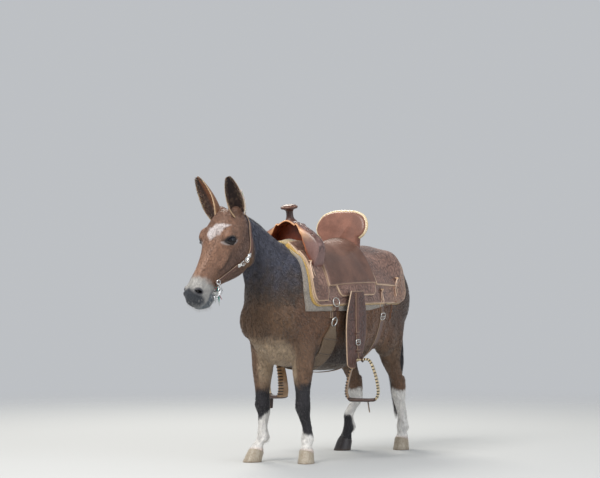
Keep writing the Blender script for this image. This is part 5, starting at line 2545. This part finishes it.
def build_whiskers(skin, tree):
    """Sparse hairs on the chin and lips, lashes, and short tufts behind the fetlocks."""
    points, normals = scattered(skin.data, 60000,
                                lambda p: head_share(p) * smoothstep(head_coords(p)[0], 0.26, 0.30))
    down, inward, _ = head_coords(points)
    chin = (inward > 0.078) & (down > 0.285)
    lips = (down > 0.33) & (inward > 0.03) & (inward <= 0.078)
    pick = np.concatenate([np.nonzero(chin)[0][:240], np.nonzero(lips)[0][:90]])
    roots, aims = points[pick], normals[pick] + np.array(JAW)[None, :] * 0.5 + np.array((0, 0, -0.8))[None, :]
    count = len(pick)
    longs = RNG.uniform(0.006, 0.017, count) * np.where(np.arange(count) < 240, 1.0, 0.7)
    shade = RNG.uniform(0.75, 1.1, (count, 1))
    obj = hair_locks("whiskers", roots - normals[pick] * 0.0005, aims, longs,
                     RNG.uniform(0.00025, 0.0004, count),
                     np.array(srgb(206, 204, 200))[None, :] * shade, 5, 0.15, 0.0010)
    finished(obj, "chin_hairs", hair_material(*SOFT_HAIR), (), 0)
    roots, aims = [], []
    for sign in (1, -1):
        _, outward, along, across = eye_axes(sign)
        for k in range(26):
            turn = math.pi * (0.12 + 0.76 * k / 25)
            line = lid_line(sign, 1.10, EYE_RADIUS + 0.0012, turn, turn, 1)
            roots.append(tuple(line[0]))
            aims.append(tuple(outward - across * 0.15 + along * (0.5 * math.cos(turn))))
    count = len(roots)
    lashes = hair_locks("lashes", np.array(roots), np.array(aims), RNG.uniform(0.005, 0.009, count),
                        np.full(count, 0.00035),
                        plain(srgb(24, 18, 16), roots), 5, 0.25, 0.0003)
    finished(lashes, "eye_lashes", hair_material(*LONG_HAIR), (), 0)
    roots, aims, longs, colours = [], [], [], []
    for _, _, sign, joints in LEGS:
        for _ in range(150):
            z = 0.086 + RNG.normal(0, 0.009)
            x = sign * LEG_OUT + RNG.normal(0, 0.0055)
            hit = tree.ray_cast(Vector((x, joints["fetlock"] + 0.08, z)), Vector((0, -1, 0)), 0.12)
            if hit[0] is None:
                continue
            roots.append(tuple(hit[0] + Vector((0, -0.0006, 0))))
            aims.append((RNG.normal(0, 0.15), 0.55, -1.0))
            longs.append(RNG.uniform(0.008, 0.016))
            colours.append(coat_colour(np.array([hit[0]]))[0] * RNG.uniform(0.8, 1.1))
    count = len(roots)
    feather = hair_locks("feather", np.array(roots), np.array(aims), np.array(longs),
                         RNG.uniform(0.0004, 0.0007, count),
                         np.array(colours), 5, 0.1, 0.0008)
    finished(feather, "fetlock_hairs", hair_material(*SOFT_HAIR), (), 0)


def tack_tree():
    """One search tree of everything the animal wears."""
    verts, faces = [], []
    for piece in PIECES:
        if piece.name.startswith(("eye_", "horn_", "ear_", "tail_", "mane_", "chin_hairs", "fetlock_")):
            continue
        base = len(verts)
        verts += [v.co - SHIFT for v in piece.data.vertices]
        faces += [tuple(base + i for i in p.vertices) for p in piece.data.polygons]
    return BVHTree.FromPolygons(verts, faces)


def build_stage():
    verts = [(-9, -9, 0), (9, -9, 0), (9, 9, 0), (-9, 9, 0)]
    floor = mesh_object("floor", verts, [(0, 1, 2, 3)])
    f = Finish("floor", 0.75, specular=0.2)
    f.colour((0.50, 0.51, 0.51))
    far = f.node("ShaderNodeVectorMath", {0: f.where}, operation="LENGTH").outputs["Value"]
    clear = f.node("ShaderNodeBsdfTransparent").outputs[0]
    both = f.node("ShaderNodeMixShader", {0: f.ramp(far, 1.6, 5.0), 1: f.shader.outputs[0], 2: clear})
    f.tree.links.new(both.outputs[0], f.tree.nodes["Material Output"].inputs["Surface"])
    floor.data.materials.append(f.done())


def area_light(name, place, target, size, power, colour):
    light = bpy.data.lights.new(name, "AREA")
    light.size = size
    light.energy = power
    light.color = colour
    obj = linked(name, light)
    obj.location = place
    obj.rotation_euler = (target - place).to_track_quat("-Z", "Y").to_euler()


VIEW_AZIMUTH = math.radians(32)
VIEW_DISTANCE, VIEW_HEIGHT = 8.15, 0.713
FOCAL_PIXELS, PICTURE_WIDE, PICTURE_HIGH = 2150, 600, 478
ORIGIN_U, HORIZON_V = 326.5, 268


def build_camera_and_lights():
    data = bpy.data.cameras.new("camera")
    data.sensor_width = 36
    data.lens = FOCAL_PIXELS / PICTURE_WIDE * 36
    data.shift_x = -(ORIGIN_U - PICTURE_WIDE / 2) / PICTURE_WIDE
    data.shift_y = (HORIZON_V - PICTURE_HIGH / 2) / PICTURE_WIDE
    camera = linked("camera", data)
    camera.location = SHIFT + Vector((math.sin(VIEW_AZIMUTH) * VIEW_DISTANCE,
                                      -math.cos(VIEW_AZIMUTH) * VIEW_DISTANCE,
                                      VIEW_HEIGHT))
    camera.location.z = VIEW_HEIGHT
    camera.rotation_euler = (math.pi / 2, 0, VIEW_AZIMUTH)
    bpy.context.scene.camera = camera
    world = bpy.data.worlds.new("world")
    world.use_nodes = True
    background = world.node_tree.nodes["Background"]
    background.inputs[0].default_value = (0.88, 0.91, 0.95, 1)
    background.inputs[1].default_value = 0.58
    bpy.context.scene.world = world
    ahead = Vector((math.sin(VIEW_AZIMUTH), -math.cos(VIEW_AZIMUTH), 0))
    left = Vector((-math.cos(VIEW_AZIMUTH), -math.sin(VIEW_AZIMUTH), 0))
    middle = SHIFT + Vector((0, 0, 0.6))
    area_light("key", middle + ahead * 2.6 + left * 1.8 + UP * 3.2, middle, 2.0, 170, (1.0, 0.97, 0.93))
    area_light("fill", middle + ahead * 2.2 - left * 3.2 + UP * 1.4, middle, 2.6, 45, (0.90, 0.94, 1.0))
    area_light("rim", middle - ahead * 2.8 + left * 0.8 + UP * 3.0, middle, 1.6, 120, (1.0, 0.95, 0.86))
    bpy.context.scene.view_settings.view_transform = "Standard"


SKIN = build_skin()
tint(SKIN.data, coat_colour(points_of(SKIN.data)))
SKIN_TREE = tree_of(SKIN)
build_eyes()
LEATHERS, TACK_COVER = build_saddle(SKIN_TREE)
build_fenders(LEATHERS)
build_stirrups(LEATHERS)
build_girths(LEATHERS, TACK_COVER)
build_bridle(LEATHERS, SKIN_TREE)
build_chin(SKIN_TREE)
build_hooves()
build_ear_hair(build_ears())
build_tail()
build_mane(SKIN_TREE)
build_whiskers(SKIN, SKIN_TREE)
build_coat(SKIN, tack_tree(), mouth_route(SKIN_TREE))
finished(SKIN, "skin_whole", coat_material("skin hair"),
         ("head", "neck", "torso", "foreleg_left", "foreleg_right", "hindleg_left", "hindleg_right"), 0)
build_stage()
build_camera_and_lights()
bpy.context.view_layer.update()
